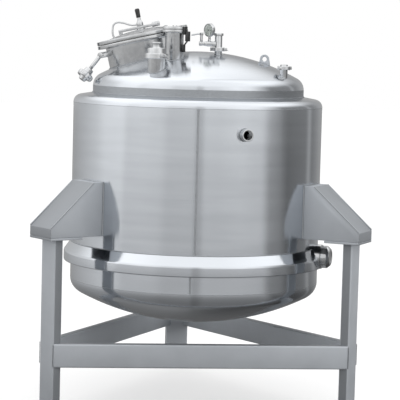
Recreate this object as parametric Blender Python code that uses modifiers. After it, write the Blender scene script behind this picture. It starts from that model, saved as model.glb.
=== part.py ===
# A jacketed stainless steel tank that stands on three braced legs.
# The inner vessel hangs in a jacket by its sloping shoulder, and three gusset brackets on the jacket sit on
# the legs. The top head carries a hinged manway, a sight glass, two capped nozzles, a riser with a gauge,
# and lifting lugs.
# Units are metres, +Z is up and the feet stand on Z = 0. The origin is the centre of the footprint, and the
# back leg lies along +Y.

import math

import bmesh
import bpy
from mathutils import Matrix, Vector

# Clearance between touching pieces, and the sides of round pieces by their size
GAP = 0.0003
ROUND = 48
MANWAY_ROUND = 32
SMALL_ROUND = 16
TINY_ROUND = 12
SHARP_ANGLE = math.radians(40.0)

# Inner vessel
VESSEL_RADIUS = 0.550
VESSEL_WALL = 0.006
VESSEL_CROWN = 1.100
VESSEL_KNUCKLE = 0.066
VESSEL_TOP_TANGENT = 1.634
VESSEL_TOP_SEAM = 1.606
VESSEL_BOTTOM_TANGENT = 0.692

# Jacket
JACKET_RADIUS = 0.650
JACKET_WALL = 0.005
JACKET_CROWN = 1.300
JACKET_KNUCKLE = 0.078
JACKET_TOP = 1.545
JACKET_BOTTOM_TANGENT = 0.630
SHOULDER_CORNER = 0.040
SHOULDER_TOP = 1.596
SHOULDER_STEPS = 4

# Channel that runs round the jacket like a belt: a sloping top, an upright face and a flat underside.
# RING_EDGE is where the slope turns into the face, and RING_FACE the face's upper and lower height.
RING_TOP = 0.822
RING_EDGE = 0.776
RING_FACE = (0.762, 0.728)
RING_BOTTOM = 0.720
RING_REACH = 0.036
RING_WALL = 0.003

# Stand
BACK = 90.0
RIGHT = 330.0
LEFT = 210.0
LEG_CENTRE = 0.873
LEG_WIDE = 0.125
LEG_DEEP = 0.050
TUBE_WALL = 0.005
BASE_PLATE = 0.012
LEG_TOP = 0.876
BRACKET_OUT = 0.945
BRACKET_HALF_WIDTH = 0.100
BRACKET_TOP = 1.158
BRACKET_SHOULDER = 0.700
BRACKET_LIP = 0.047
BRACKET_WALL = 0.006
BRACKET_IN = 0.590
BEAM_BOTTOM = 0.236
BEAM_TALL = 0.120
FOOT_THICK = 0.012
FOOT_WIDE = 0.190
FOOT_DEEP = 0.120
BASE_IN = 0.760

# Fittings on the jacket: a threaded socket at the front and a wide capped nozzle on the ring
SOCKET_AZIMUTH = 285.0
SOCKET_HEIGHT = 1.422
SOCKET_RADIUS = 0.030
SOCKET_BORE = 0.022
SOCKET_OUT = 0.045
SOCKET_IN = 0.010
RING_NOZZLE_AZIMUTH = 337.5
RING_NOZZLE_HEIGHT = 0.782
COLLAR_RADIUS = 0.048
COLLAR_WALL = 0.004
COLLAR_FOOT = 0.0625
COLLAR_IN = 0.020
COLLAR_END = 0.066
RING_CAP_RADIUS = 0.056
RING_CAP_START = 0.0385
RING_CAP_EDGE = 0.069
RING_CAP_END = 0.085
RING_CAP_NARROW = 0.042

# The tank's axis stands so that the footprint, from the channel's front to the back bracket, is centred
AXIS_Y = (JACKET_RADIUS + RING_REACH - BRACKET_OUT) / 2

# Manway, in its own frame: X points outwards and down the head, Z runs along the neck
MANWAY_AZIMUTH = 171.0
MANWAY_PLACE = 14.5
MANWAY_TILT = 13.0
NECK_RADIUS = 0.200
NECK_WALL = 0.005
NECK_DEPTH = 0.012
FLANGE_RADIUS = 0.240
FLANGE_BOTTOM = 0.084
FLANGE_TOP = 0.100
GASKET = 0.003
GASKET_RADIUS = 0.222
LID_BOTTOM = FLANGE_TOP + GASKET + 2 * GAP
LID_RIM = 0.018
LID_TOP = LID_BOTTOM + LID_RIM
LID_DISH_RADIUS = 0.188
LID_RISE = 0.025
LID_WALL = 0.005
LID_STEPS = 4

# On the lid: a boss, a flat bar with a foot and a nut, a stem with a grip, and a wire handle
BOSS_RADIUS = 0.022
BAR_BOTTOM = 0.150
BAR_THICK = 0.014
BAR_WIDE = 0.030
BAR_START = -0.090
BAR_END = 0.117
BAR_FOOT = (0.018, 0.024, 0.1401)
BAR_NUT = (0.013, 0.040, 0.012)
STEM = ((0.009, 0.208), (0.011, 0.190), (0.017, 0.180))
STEM_TOP = 0.208
GRIP = ((0.010, 0.256), (0.0125, 0.253), (0.0115, 0.2083))
GRIP_TOP = 0.256
HANDLE_WIRE = 0.005
HANDLE = ((0.148, 0.1322), (0.150, 0.150), (0.145, 0.178), (0.134, 0.199), (0.118, 0.205), (0.090, 0.199),
          (0.040, 0.175), (0.0178, 0.174))

# Manway hinge: two ears on the neck with a pin, and a strap on the lid with an eye round it. It stands
# behind the sight glass, turned round the neck from the inner side.
HINGE_TURN = 50.0
HINGE_X = -0.265
HINGE_Z = 0.088
HINGE_PIN = 0.008
HINGE_PLAY = 0.0005
HINGE_EAR = 0.0139
HINGE_EAR_AT = 0.022
HINGE_EAR_DROP = 0.030
HINGE_PIN_HALF = 0.030
PLATE = 0.008
STRAP_WIDE = 0.030
STRAP_EYE = 0.015
STRAP_HALF_DROP = 0.0111

# Swing bolt: its pivot lies under a notch that is open to the edge of the flange and of the lid
BOLT_ANGLE = 20.0
BOLT_PIVOT_RADIUS = 0.240
BOLT_PIVOT_Z = 0.055
BOLT_CHEEK_AT = 0.018
BOLT_CHEEK = (0.013, -0.016, 0.0125)
BOLT_PIN = 0.006
BOLT_PIN_HALF = 0.024
BOLT_EYE = 0.0145
BOLT_EYE_HALF = 0.0125
BOLT_NOTCH = 0.016
BOLT_DROOP = 40.0
BOLT_ROD = 0.010
BOLT_LENGTH = 0.166
KNOB_AT = 0.134
KNOB_RADIUS = 0.043
KNOB_HALF = 0.009
KNOB_HUB = ((0.018, 0.030), (0.022, 0.016))
KNOB_NECK = ((0.025, -0.017), (0.021, -0.040))

# Top fittings, as azimuth and radius of a vertical nozzle on the head
SIGHT = (236.4, 0.276)
CAPPED = (235.0, 0.440)
RISER = (296.9, 0.179)
SIDE = (327.0, 0.487)
LUGS = {"right": (346.0, 0.343), "back": (104.0, 0.340)}

# Clamped nozzles: tube radius, tube wall, flange radius, clamp radius and clamp width
CAPPED_SIZES = (0.0445, 0.003, 0.053, 0.059, 0.026)
SMALL_SIZES = (0.0190, 0.002, 0.0253, 0.034, 0.020)
FERRULE_LIP = 0.006
CLAMP_GRIP = 0.004
CAP_CHAMFER = 0.004
NOZZLE_DEPTH = -0.040

# Sight glass: a flanged neck, a glass pane and a cover ring, as heights above the head
SIGHT_TUBE = 0.0470
SIGHT_WALL = 0.003
SIGHT_DEPTH = -0.035
SIGHT_FLANGE = 0.0615
SIGHT_LEDGE = 0.012
SIGHT_SEAT = 0.142
SIGHT_TOP = 0.160
PANE_RADIUS = 0.050
PANE_THICK = 0.006
PANE_SEAT = 0.010

# Capped nozzle in front of the manway: parting face, cap top and spigot, as heights above the head
CAPPED_PART = 0.066
CAPPED_TOP = 0.106
SPIGOT_RADIUS = 0.026
SPIGOT_TOP = 0.136

# Small nozzle at the right: parting face and cap top
SIDE_PART = 0.042
SIDE_TOP = 0.060

# Riser, in its own upright frame: X points to the left of the front view
RISER_TURN = 174.0
RISER_DEPTH = -0.030
RISER_PART = 0.029
RISER_TOP = 0.098
RISER_CAP = ((0.022, 0.112), (0.0245, 0.110))
BRANCH_Z = 0.056
BRANCH_END = 0.0605
BRANCH_RADIUS = 0.014
GAUGE_BOSS = 0.009
BOSS_TOP = 0.079
GAUGE_X = 0.047
GAUGE_Z = 0.126
GAUGE_RADIUS = 0.034
GAUGE_BEZEL = 0.004
GAUGE_HALF = 0.011
GAUGE_DISH = 0.008
GAUGE_STEM = 0.0065
GAUGE_STEM_TOP = 0.100
GAUGE_TURN = 41.0
COCK_RADIUS = 0.012
COCK_END = 0.100
COCK_NECK = 0.007
LEVER_X = 0.088
LEVER_Z = 0.098
LEVER_HUB = (0.0095, 0.015)
LEVER_ARM = 0.0045
LEVER_REACH = 0.052

# Lifting lug: a plate with a round head
LUG_EYE_Z = 0.024
LUG_RADIUS = 0.024
LUG_FOOT = 0.030
LUG_DEPTH = -0.040
LUG_BEND = 0.003
LUG_BORE = 0.012
LUG_THICK = 0.012
LUG_STEPS = 8

# Finishes: colour, metallic and roughness
STEEL = (0.62, 0.63, 0.64, 1.0)
PAINT = (0.55, 0.56, 0.57, 1.0)
BLACK = (0.02, 0.02, 0.02, 1.0)
RUBBER = (0.75, 0.75, 0.72, 1.0)
GLASS = (0.55, 0.62, 0.60, 1.0)
STEEL_FINISH = (STEEL, 1.0, 0.25)
PAINT_FINISH = (PAINT, 0.0, 0.45)
BLACK_FINISH = (BLACK, 0.0, 0.4)
RUBBER_FINISH = (RUBBER, 0.0, 0.6)
GLASS_FINISH = (GLASS, 0.0, 0.05)


def clear_scene():
    for thing in list(bpy.data.objects):
        bpy.data.objects.remove(thing)


def make_collection(name):
    group = bpy.data.collections.new(name)
    bpy.context.scene.collection.children.link(group)
    return group


def make_material(name, colour, metallic, roughness):
    material = bpy.data.materials.new(name)
    material.use_nodes = True
    shader = material.node_tree.nodes["Principled BSDF"]
    shader.inputs["Base Color"].default_value = colour
    shader.inputs["Metallic"].default_value = metallic
    shader.inputs["Roughness"].default_value = roughness
    return material


def add_object(name, mesh, matrix, finish):
    """Link a mesh as a named sub-part with a material of its own."""
    thing = bpy.data.objects.new(name, mesh)
    PARTS.objects.link(thing)
    thing.matrix_world = matrix
    colour, metallic, roughness = finish
    mesh.materials.append(make_material(name, colour, metallic, roughness))
    return thing


def make_cutter(thing):
    """Move an object to the cutters' collection, out of the model."""
    for group in list(thing.users_collection):
        group.objects.unlink(thing)
    CUTTERS.objects.link(thing)
    thing.hide_render = True
    thing.display_type = "WIRE"
    return thing


def boolean(thing, cutter, operation="DIFFERENCE"):
    modifier = thing.modifiers.new(operation.title(), "BOOLEAN")
    modifier.operation = operation
    modifier.object = cutter
    modifier.solver = "EXACT"
    return modifier


def turned(name, profile, matrix, finish, steps=SMALL_ROUND, closed=False):
    """Turn a section about Z. The section runs down its outer side, and closed joins its ends."""
    points = [(radius, 0.0, height) for radius, height in profile]
    edges = [(i, i + 1) for i in range(len(points) - 1)]
    if closed:
        edges.append((len(points) - 1, 0))
    mesh = bpy.data.meshes.new(name)
    mesh.from_pydata(points, edges, [])
    thing = add_object(name, mesh, matrix, finish)
    screw = thing.modifiers.new("Screw", "SCREW")
    screw.steps = steps
    screw.render_steps = steps
    screw.use_merge_vertices = True
    screw.merge_threshold = 0.0001
    return thing


def block(name, low, high, matrix, finish):
    """A box between two corners, in the frame of matrix."""
    bm = bmesh.new()
    bmesh.ops.create_cube(bm, size=1.0)
    low, high = Vector(low), Vector(high)
    size = high - low
    bmesh.ops.scale(bm, vec=size, verts=bm.verts)
    bmesh.ops.translate(bm, vec=(low + high) / 2, verts=bm.verts)
    mesh = bpy.data.meshes.new(name)
    bm.to_mesh(mesh)
    bm.free()
    return add_object(name, mesh, matrix, finish)


def rod(name, start, end, radius, matrix, finish, sides=TINY_ROUND):
    """A round bar between two points, in the frame of matrix."""
    start, end = Vector(start), Vector(end)
    along = end - start
    bm = bmesh.new()
    bmesh.ops.create_cone(
        bm, cap_ends=True, segments=sides, radius1=radius, radius2=radius, depth=along.length)
    turn = along.to_track_quat("Z", "Y").to_matrix().to_4x4()
    bm.transform(Matrix.Translation((start + end) / 2) @ turn)
    mesh = bpy.data.meshes.new(name)
    bm.to_mesh(mesh)
    bm.free()
    shade_round(mesh)
    return add_object(name, mesh, matrix, finish)


def shade_round(mesh):
    """Shade a mesh smooth, except across its sharp edges."""
    mesh.shade_smooth()
    mesh.set_sharp_from_angle(angle=SHARP_ANGLE)


def outline(name, points, thickness, matrix, finish):
    """A flat plate of a given outline in the XY plane of matrix, half its thickness to each side."""
    curve = bpy.data.curves.new(name, "CURVE")
    curve.dimensions = "2D"
    curve.fill_mode = "BOTH"
    curve.extrude = thickness / 2
    spline = curve.splines.new("POLY")
    spline.points.add(len(points) - 1)
    for place, (x, y) in zip(spline.points, points):
        place.co = (x, y, 0.0, 1.0)
    spline.use_cyclic_u = True
    source = bpy.data.objects.new(name + "_curve", curve)
    PARTS.objects.link(source)
    return to_mesh(name, source, matrix, finish)


def wire(name, points, radius, matrix, finish):
    """A round wire along points, in the frame of matrix."""
    curve = bpy.data.curves.new(name, "CURVE")
    curve.dimensions = "3D"
    curve.bevel_depth = radius
    curve.bevel_resolution = 2
    curve.use_fill_caps = True
    spline = curve.splines.new("POLY")
    spline.points.add(len(points) - 1)
    for place, point in zip(spline.points, points):
        place.co = (*point, 1.0)
    source = bpy.data.objects.new(name + "_curve", curve)
    PARTS.objects.link(source)
    return to_mesh(name, source, matrix, finish)


def to_mesh(name, source, matrix, finish):
    """Turn a curve object into a welded mesh object and remove the curve."""
    bpy.context.view_layer.update()
    depsgraph = bpy.context.evaluated_depsgraph_get()
    mesh = bpy.data.meshes.new_from_object(source.evaluated_get(depsgraph))
    bm = bmesh.new()
    bm.from_mesh(mesh)
    bmesh.ops.remove_doubles(bm, verts=bm.verts, dist=0.00001)
    bmesh.ops.recalc_face_normals(bm, faces=bm.faces)
    bm.to_mesh(mesh)
    bm.free()
    bpy.data.objects.remove(source)
    mesh.materials.clear()
    shade_round(mesh)
    return add_object(name, mesh, matrix, finish)


def dished(radius, crown, knuckle, tangent, inset=0.0, knuckle_steps=4, crown_steps=5):
    """Section of a dished head from its rim up to its pole, inset by a wall."""
    join = math.asin((radius - knuckle) / (crown - knuckle))
    centre = tangent - math.sqrt((crown - knuckle) ** 2 - (radius - knuckle) ** 2)
    points = []
    for step in range(knuckle_steps + 1):
        angle = math.pi / 2 + (join - math.pi / 2) * step / knuckle_steps
        reach = knuckle - inset
        points.append((radius - knuckle + reach * math.sin(angle), tangent + reach * math.cos(angle)))
    for step in range(1, crown_steps + 1):
        angle = join * (1 - step / crown_steps)
        points.append(((crown - inset) * math.sin(angle), centre + (crown - inset) * math.cos(angle)))
    points[-1] = (0.0, points[-1][1])
    return points


def below(points, tangent):
    """The same section turned upside down about its tangent line."""
    return [(radius, 2 * tangent - height) for radius, height in points]


def crown_centre():
    return VESSEL_TOP_TANGENT - math.sqrt(
        (VESSEL_CROWN - VESSEL_KNUCKLE) ** 2 - (VESSEL_RADIUS - VESSEL_KNUCKLE) ** 2)


def axis_frame(azimuth=0.0):
    """Frame on the tank's axis at floor level, X pointing along the azimuth."""
    return Matrix.Translation((0.0, AXIS_Y, 0.0)) @ Matrix.Rotation(math.radians(azimuth), 4, "Z")


def manway_frame():
    """Frame of the manway: its origin lies on the head's crown, and its neck leans outwards."""
    centre = axis_frame(MANWAY_AZIMUTH) @ Matrix.Translation((0.0, 0.0, crown_centre()))
    place = Matrix.Rotation(math.radians(MANWAY_PLACE), 4, "Y")
    lean = Matrix.Rotation(math.radians(MANWAY_TILT - MANWAY_PLACE), 4, "Y")
    return centre @ place @ Matrix.Translation((0.0, 0.0, VESSEL_CROWN)) @ lean


def nozzle_frame(place):
    """Upright frame of a nozzle, with its origin on the head's outside. X points away from the axis."""
    azimuth, radius = place
    height = crown_centre() + math.sqrt(VESSEL_CROWN ** 2 - radius ** 2)
    return axis_frame(azimuth) @ Matrix.Translation((radius, 0.0, height))


def build_vessel():
    top_outer = dished(VESSEL_RADIUS, VESSEL_CROWN, VESSEL_KNUCKLE, VESSEL_TOP_TANGENT)
    top_inner = dished(VESSEL_RADIUS, VESSEL_CROWN, VESSEL_KNUCKLE, VESSEL_TOP_TANGENT, VESSEL_WALL)
    inner = VESSEL_RADIUS - VESSEL_WALL
    skirt = [(VESSEL_RADIUS, VESSEL_TOP_SEAM), (inner, VESSEL_TOP_SEAM)]
    head = turned("vessel_top_head", top_outer[::-1] + skirt + top_inner, axis_frame(), STEEL_FINISH, ROUND)
    shell = [(VESSEL_RADIUS, VESSEL_TOP_SEAM - GAP), (VESSEL_RADIUS, VESSEL_BOTTOM_TANGENT + GAP),
             (inner, VESSEL_BOTTOM_TANGENT + GAP), (inner, VESSEL_TOP_SEAM - GAP)]
    turned("vessel_shell", shell, axis_frame(), STEEL_FINISH, ROUND, closed=True)
    size = (VESSEL_RADIUS, VESSEL_CROWN, VESSEL_KNUCKLE, VESSEL_BOTTOM_TANGENT)
    low_outer = below(dished(*size, 0.0, 3, 4), VESSEL_BOTTOM_TANGENT)
    low_inner = below(dished(*size, VESSEL_WALL, 3, 4), VESSEL_BOTTOM_TANGENT)
    turned("vessel_bottom_head", low_inner[::-1] + low_outer, axis_frame(), STEEL_FINISH, ROUND)
    return head


def build_head_envelope():
    """The head's outside plus the gap, which trims whatever is welded on the head."""
    outer = dished(VESSEL_RADIUS, VESSEL_CROWN, VESSEL_KNUCKLE, VESSEL_TOP_TANGENT, -GAP)
    base = [(VESSEL_RADIUS + GAP, VESSEL_TOP_SEAM), (0.0, VESSEL_TOP_SEAM)]
    return make_cutter(turned("head_envelope", outer[::-1] + base, axis_frame(), STEEL_FINISH, ROUND))


def build_jacket_envelope():
    """The jacket's outside plus the gap, which trims whatever is welded on the jacket."""
    reach = JACKET_RADIUS + GAP
    profile = [(0.0, JACKET_TOP), (reach, JACKET_TOP), (reach, JACKET_BOTTOM_TANGENT),
               (0.0, JACKET_BOTTOM_TANGENT)]
    return make_cutter(turned("jacket_envelope", profile, axis_frame(), STEEL_FINISH, ROUND))


def shoulder_section(inset):
    """Outer line of the shoulder from its foot to its top edge, inset by a wall."""
    across = JACKET_RADIUS - SHOULDER_CORNER - VESSEL_RADIUS - GAP
    rise = SHOULDER_TOP - JACKET_TOP
    reach = math.hypot(across, rise)
    lean = math.atan2(across, rise) + math.asin(SHOULDER_CORNER / reach)
    centre = JACKET_RADIUS - SHOULDER_CORNER
    radius = SHOULDER_CORNER - inset
    points = []
    for step in range(SHOULDER_STEPS + 1):
        angle = lean * step / SHOULDER_STEPS
        points.append((centre + radius * math.cos(angle), JACKET_TOP + GAP + radius * math.sin(angle)))
    slope = math.tan(math.pi / 2 - lean)
    last_r, last_z = points[-1]
    points.append((VESSEL_RADIUS + GAP, last_z + (last_r - VESSEL_RADIUS - GAP) * slope))
    return points


def build_jacket():
    inner = JACKET_RADIUS - JACKET_WALL
    shell = [(JACKET_RADIUS, JACKET_TOP), (JACKET_RADIUS, JACKET_BOTTOM_TANGENT + GAP),
             (inner, JACKET_BOTTOM_TANGENT + GAP), (inner, JACKET_TOP)]
    jacket = turned("jacket_shell", shell, axis_frame(), STEEL_FINISH, ROUND, closed=True)
    shoulder = shoulder_section(0.0)[::-1] + shoulder_section(JACKET_WALL)
    turned("jacket_shoulder", shoulder, axis_frame(), STEEL_FINISH, ROUND, closed=True)
    size = (JACKET_RADIUS, JACKET_CROWN, JACKET_KNUCKLE, JACKET_BOTTOM_TANGENT)
    outer = below(dished(*size), JACKET_BOTTOM_TANGENT)
    lining = below(dished(*size, JACKET_WALL), JACKET_BOTTOM_TANGENT)
    turned("jacket_bottom_head", lining[::-1] + outer, axis_frame(), STEEL_FINISH, ROUND)
    return jacket


def build_ring():
    """A channel that runs round the jacket, open towards it."""
    base = JACKET_RADIUS + GAP
    face = JACKET_RADIUS + RING_REACH
    high, low = RING_FACE
    outer = [(base, RING_TOP), (face - 0.003, RING_EDGE), (face - 0.0005, RING_EDGE - 0.006), (face, high),
             (face, low), (face - 0.002, low - 0.006), (face - 0.006, RING_BOTTOM), (base, RING_BOTTOM)]
    lining = face - RING_WALL
    floor = RING_BOTTOM + RING_WALL
    inner = [(base, RING_TOP - 0.005), (lining - 0.0024, RING_EDGE - 0.0017),
             (lining - 0.0003, RING_EDGE - 0.007), (lining, high), (lining, low),
             (lining - 0.001, low - 0.004), (lining - 0.0035, floor), (base, floor)]
    return turned("jacket_ring", outer + inner[::-1], axis_frame(), STEEL_FINISH, ROUND, closed=True)


def clamp_set(name, sizes, low, high, matrix, top=None):
    """A clamped nozzle along Z of matrix, from low to its parting face high: ferrule, clamp ring and cap."""
    tube, wall, flange, clamp, width = sizes
    lip = FERRULE_LIP
    ferrule = [(flange, high), (flange, high - lip), (tube, high - lip), (tube, low),
               (tube - wall, low), (tube - wall, high)]
    turned(name, ferrule, matrix, STEEL_FINISH, closed=True)
    half = width / 2
    room = flange + GAP
    grip = flange - CLAMP_GRIP
    groove = lip + GAP
    ring = [(clamp, high + half), (clamp, high - half), (grip, high - half), (grip, high - groove),
            (room, high - groove), (room, high + groove), (grip, high + groove), (grip, high + half)]
    turned(name + "_clamp", ring, matrix, STEEL_FINISH, closed=True)
    if top is None:
        return None
    dome = grip - 0.002
    cap = [(0.0, top), (dome - CAP_CHAMFER, top), (dome, top - CAP_CHAMFER), (dome, high + lip),
           (flange, high + lip), (flange, high + GAP), (0.0, high + GAP)]
    return turned(name + "_cap", cap, matrix, STEEL_FINISH)


def drill(head, radius, matrix, name):
    """A round hole through a shell, along Z of matrix."""
    hole = rod(name, (0, 0, -0.12), (0, 0, 0.12), radius, matrix, STEEL_FINISH, SMALL_ROUND)
    boolean(head, make_cutter(hole))


def build_manway(head):
    frame = manway_frame()
    low = math.sqrt(VESSEL_CROWN ** 2 - NECK_RADIUS ** 2) - VESSEL_CROWN - NECK_DEPTH
    inner = NECK_RADIUS - NECK_WALL
    section = [(FLANGE_RADIUS, FLANGE_TOP), (FLANGE_RADIUS, FLANGE_BOTTOM), (NECK_RADIUS, FLANGE_BOTTOM),
               (NECK_RADIUS, low), (inner, low), (inner, FLANGE_TOP)]
    neck = turned("manway_neck", section, frame, STEEL_FINISH, MANWAY_ROUND, closed=True)
    hole = NECK_RADIUS + GAP
    plug = [(0.0, 0.05), (hole, 0.05), (hole, -0.1), (0.0, -0.1)]
    boolean(head, make_cutter(turned("manway_hole", plug, frame, STEEL_FINISH, MANWAY_ROUND)))
    for extra in neck_lugs(frame):
        boolean(neck, make_cutter(extra), "UNION")
    notch = bolt_notch(frame)
    boolean(neck, notch)
    gasket_top = FLANGE_TOP + GAP + GASKET
    gasket = [(GASKET_RADIUS, gasket_top), (GASKET_RADIUS, FLANGE_TOP + GAP), (inner, FLANGE_TOP + GAP),
              (inner, gasket_top)]
    turned("manway_gasket", gasket, frame, RUBBER_FINISH, MANWAY_ROUND, closed=True)
    build_lid(frame, notch)
    build_swing_bolt(frame)


def hinge_frame(frame):
    """Frame of the manway turned so that its -X side is the hinge's."""
    return frame @ Matrix.Rotation(math.radians(HINGE_TURN), 4, "Z")


def bolt_frame(frame):
    """Frame of the swing bolt's pivot. X points away from the lid's centre and Y lies along the pivot."""
    turn = Matrix.Rotation(math.radians(BOLT_ANGLE), 4, "Z")
    return frame @ turn @ Matrix.Translation((BOLT_PIVOT_RADIUS, 0.0, BOLT_PIVOT_Z))


def bolt_notch(frame):
    """The notch that the closed swing bolt stands in, through the flange and the lid's rim."""
    low = (-BOLT_NOTCH, -BOLT_NOTCH, FLANGE_BOTTOM - BOLT_PIVOT_Z - 0.010)
    high = (0.050, BOLT_NOTCH, LID_TOP - BOLT_PIVOT_Z + 0.020)
    return make_cutter(block("bolt_notch", low, high, bolt_frame(frame), STEEL_FINISH))


def neck_lugs(frame):
    """The pieces welded to the neck: cheeks and pins for the hinge and for the swing bolt."""
    lugs = []
    hinge = hinge_frame(frame)
    half = PLATE / 2
    wall = NECK_RADIUS - 0.002
    top = FLANGE_BOTTOM + 0.002
    for side, y in (("near", HINGE_EAR_AT), ("far", -HINGE_EAR_AT)):
        low = (HINGE_X - HINGE_EAR + 0.0001, y - half, HINGE_Z - HINGE_EAR_DROP)
        lugs.append(block(f"hinge_web_{side}", low, (-wall, y + half, top), hinge, STEEL_FINISH))
        ends = (HINGE_X, y - half + 0.0001, HINGE_Z), (HINGE_X, y + half - 0.0001, HINGE_Z)
        lugs.append(rod(f"hinge_ear_{side}", *ends, HINGE_EAR, hinge, STEEL_FINISH))
    ends = (HINGE_X, -HINGE_PIN_HALF, HINGE_Z), (HINGE_X, HINGE_PIN_HALF, HINGE_Z)
    lugs.append(rod("hinge_pin", *ends, HINGE_PIN, hinge, STEEL_FINISH))
    pivot = bolt_frame(frame)
    inward = wall - BOLT_PIVOT_RADIUS
    outward, bottom, top = BOLT_CHEEK
    for side, y in (("near", BOLT_CHEEK_AT), ("far", -BOLT_CHEEK_AT)):
        low = (inward, y - half, bottom)
        lugs.append(block(f"bolt_cheek_{side}", low, (outward, y + half, top), pivot, STEEL_FINISH))
    lugs.append(rod("bolt_pin", (0, -BOLT_PIN_HALF, 0), (0, BOLT_PIN_HALF, 0), BOLT_PIN, pivot, STEEL_FINISH))
    return lugs


def build_lid(frame, notch):
    """A dished lid with a flat rim, notched for the bolt, its hinge strap and the boss under the bar."""
    bow = (LID_DISH_RADIUS ** 2 + LID_RISE ** 2) / (2 * LID_RISE)
    spread = math.asin(LID_DISH_RADIUS / bow)
    apex = LID_TOP + LID_RISE
    turns = [spread * step / LID_STEPS for step in range(LID_STEPS + 1)]
    outer = [(bow * math.sin(turn), apex - bow * (1 - math.cos(turn))) for turn in turns]
    lining = [(radius * 0.97, height - LID_WALL) for radius, height in outer]
    rim = [(FLANGE_RADIUS, LID_TOP), (FLANGE_RADIUS, LID_BOTTOM), (lining[-1][0], LID_BOTTOM)]
    lid = turned("manway_lid", outer + rim + lining[::-1], frame, STEEL_FINISH, MANWAY_ROUND)
    boolean(lid, notch)
    ends = (0, 0, apex - 0.003), (0, 0, BAR_BOTTOM - GAP)
    boss = rod("lid_boss", *ends, BOSS_RADIUS, frame, STEEL_FINISH, SMALL_ROUND)
    hinge = hinge_frame(frame)
    for extra in (boss, *hinge_strap(hinge)):
        boolean(lid, make_cutter(extra), "UNION")
    ends = (HINGE_X, -0.04, HINGE_Z), (HINGE_X, 0.04, HINGE_Z)
    boolean(lid, make_cutter(rod("strap_bore", *ends, HINGE_PIN + HINGE_PLAY, hinge, STEEL_FINISH)))
    build_lid_bar(frame)


def hinge_strap(frame):
    """The strap on the lid's rim that reaches down to an eye round the hinge pin."""
    half = STRAP_WIDE / 2
    drop_half = STRAP_HALF_DROP
    strap = block("hinge_strap", (HINGE_X - drop_half + 0.0001, -half, LID_BOTTOM + 0.0002),
                  (0.012 - FLANGE_RADIUS, half, LID_TOP - 0.0002), frame, STEEL_FINISH)
    drop = block("strap_drop", (HINGE_X - drop_half, 0.001 - half, HINGE_Z),
                 (HINGE_X + drop_half, half - 0.001, LID_TOP - 0.004), frame, STEEL_FINISH)
    ends = (HINGE_X, 0.0005 - half, HINGE_Z), (HINGE_X, half - 0.0005, HINGE_Z)
    eye = rod("strap_eye", *ends, STRAP_EYE, frame, STEEL_FINISH, SMALL_ROUND)
    return strap, drop, eye


def build_lid_bar(frame):
    """A flat bar across the lid's boss, with a foot and a thick nut, and the stem and handles on it."""
    top = BAR_BOTTOM + BAR_THICK
    half = BAR_WIDE / 2
    bar = block("lid_bar", (BAR_START, -half, BAR_BOTTOM), (BAR_END, half, top), frame, STEEL_FINISH)
    length, width, foot_bottom = BAR_FOOT
    foot = block("bar_foot", (BAR_END - length, -width / 2, foot_bottom),
                 (BAR_END - 0.0002, width / 2, BAR_BOTTOM + 0.004), frame, STEEL_FINISH)
    radius, length, beyond = BAR_NUT
    height = BAR_BOTTOM + BAR_THICK / 2 + 0.001
    ends = (BAR_START - beyond, 0, height), (BAR_START - beyond + length, 0, height)
    nut = rod("bar_nut", *ends, radius, frame, STEEL_FINISH)
    for extra in (foot, nut):
        boolean(bar, make_cutter(extra), "UNION")
    stem = [(0.0, STEM_TOP), *STEM, (STEM[-1][0], top + GAP), (0.0, top + GAP)]
    turned("lid_stem", stem, frame, STEEL_FINISH)
    turned("lid_grip", [(0.0, GRIP_TOP), *GRIP, (0.0, GRIP[-1][1])], frame, BLACK_FINISH)
    wire("lid_handle", [(x, 0.0, z) for x, z in HANDLE], HANDLE_WIRE, frame, STEEL_FINISH)


def build_swing_bolt(frame):
    """An eye bolt on the neck, released and hanging outwards, with a hand knob near its end."""
    pivot = bolt_frame(frame) @ Matrix.Rotation(math.radians(BOLT_DROOP), 4, "Y")
    ends = (BOLT_ROD, 0, 0), (BOLT_LENGTH, 0, 0)
    bolt = rod("swing_bolt", *ends, BOLT_ROD, pivot, STEEL_FINISH, SMALL_ROUND)
    ends = (0, -BOLT_EYE_HALF, 0), (0, BOLT_EYE_HALF, 0)
    boolean(bolt, make_cutter(rod("bolt_eye", *ends, BOLT_EYE, pivot, STEEL_FINISH, SMALL_ROUND)), "UNION")
    bore = rod("bolt_bore", (0, -0.03, 0), (0, 0.03, 0), BOLT_PIN + HINGE_PLAY, pivot, STEEL_FINISH)
    boolean(bolt, make_cutter(bore))
    along = pivot @ Matrix.Translation((KNOB_AT, 0, 0)) @ Matrix.Rotation(math.pi / 2, 4, "Y")
    bore = BOLT_ROD + GAP
    disc = [(KNOB_RADIUS - 0.007, 0.014), (KNOB_RADIUS, KNOB_HALF), (KNOB_RADIUS, -KNOB_HALF),
            (KNOB_RADIUS - 0.005, -0.014)]
    knob = [*KNOB_HUB, *disc, *KNOB_NECK, (bore, KNOB_NECK[-1][1]), (bore, KNOB_HUB[0][1])]
    turned("swing_knob", knob, along, STEEL_FINISH, closed=True)


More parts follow.
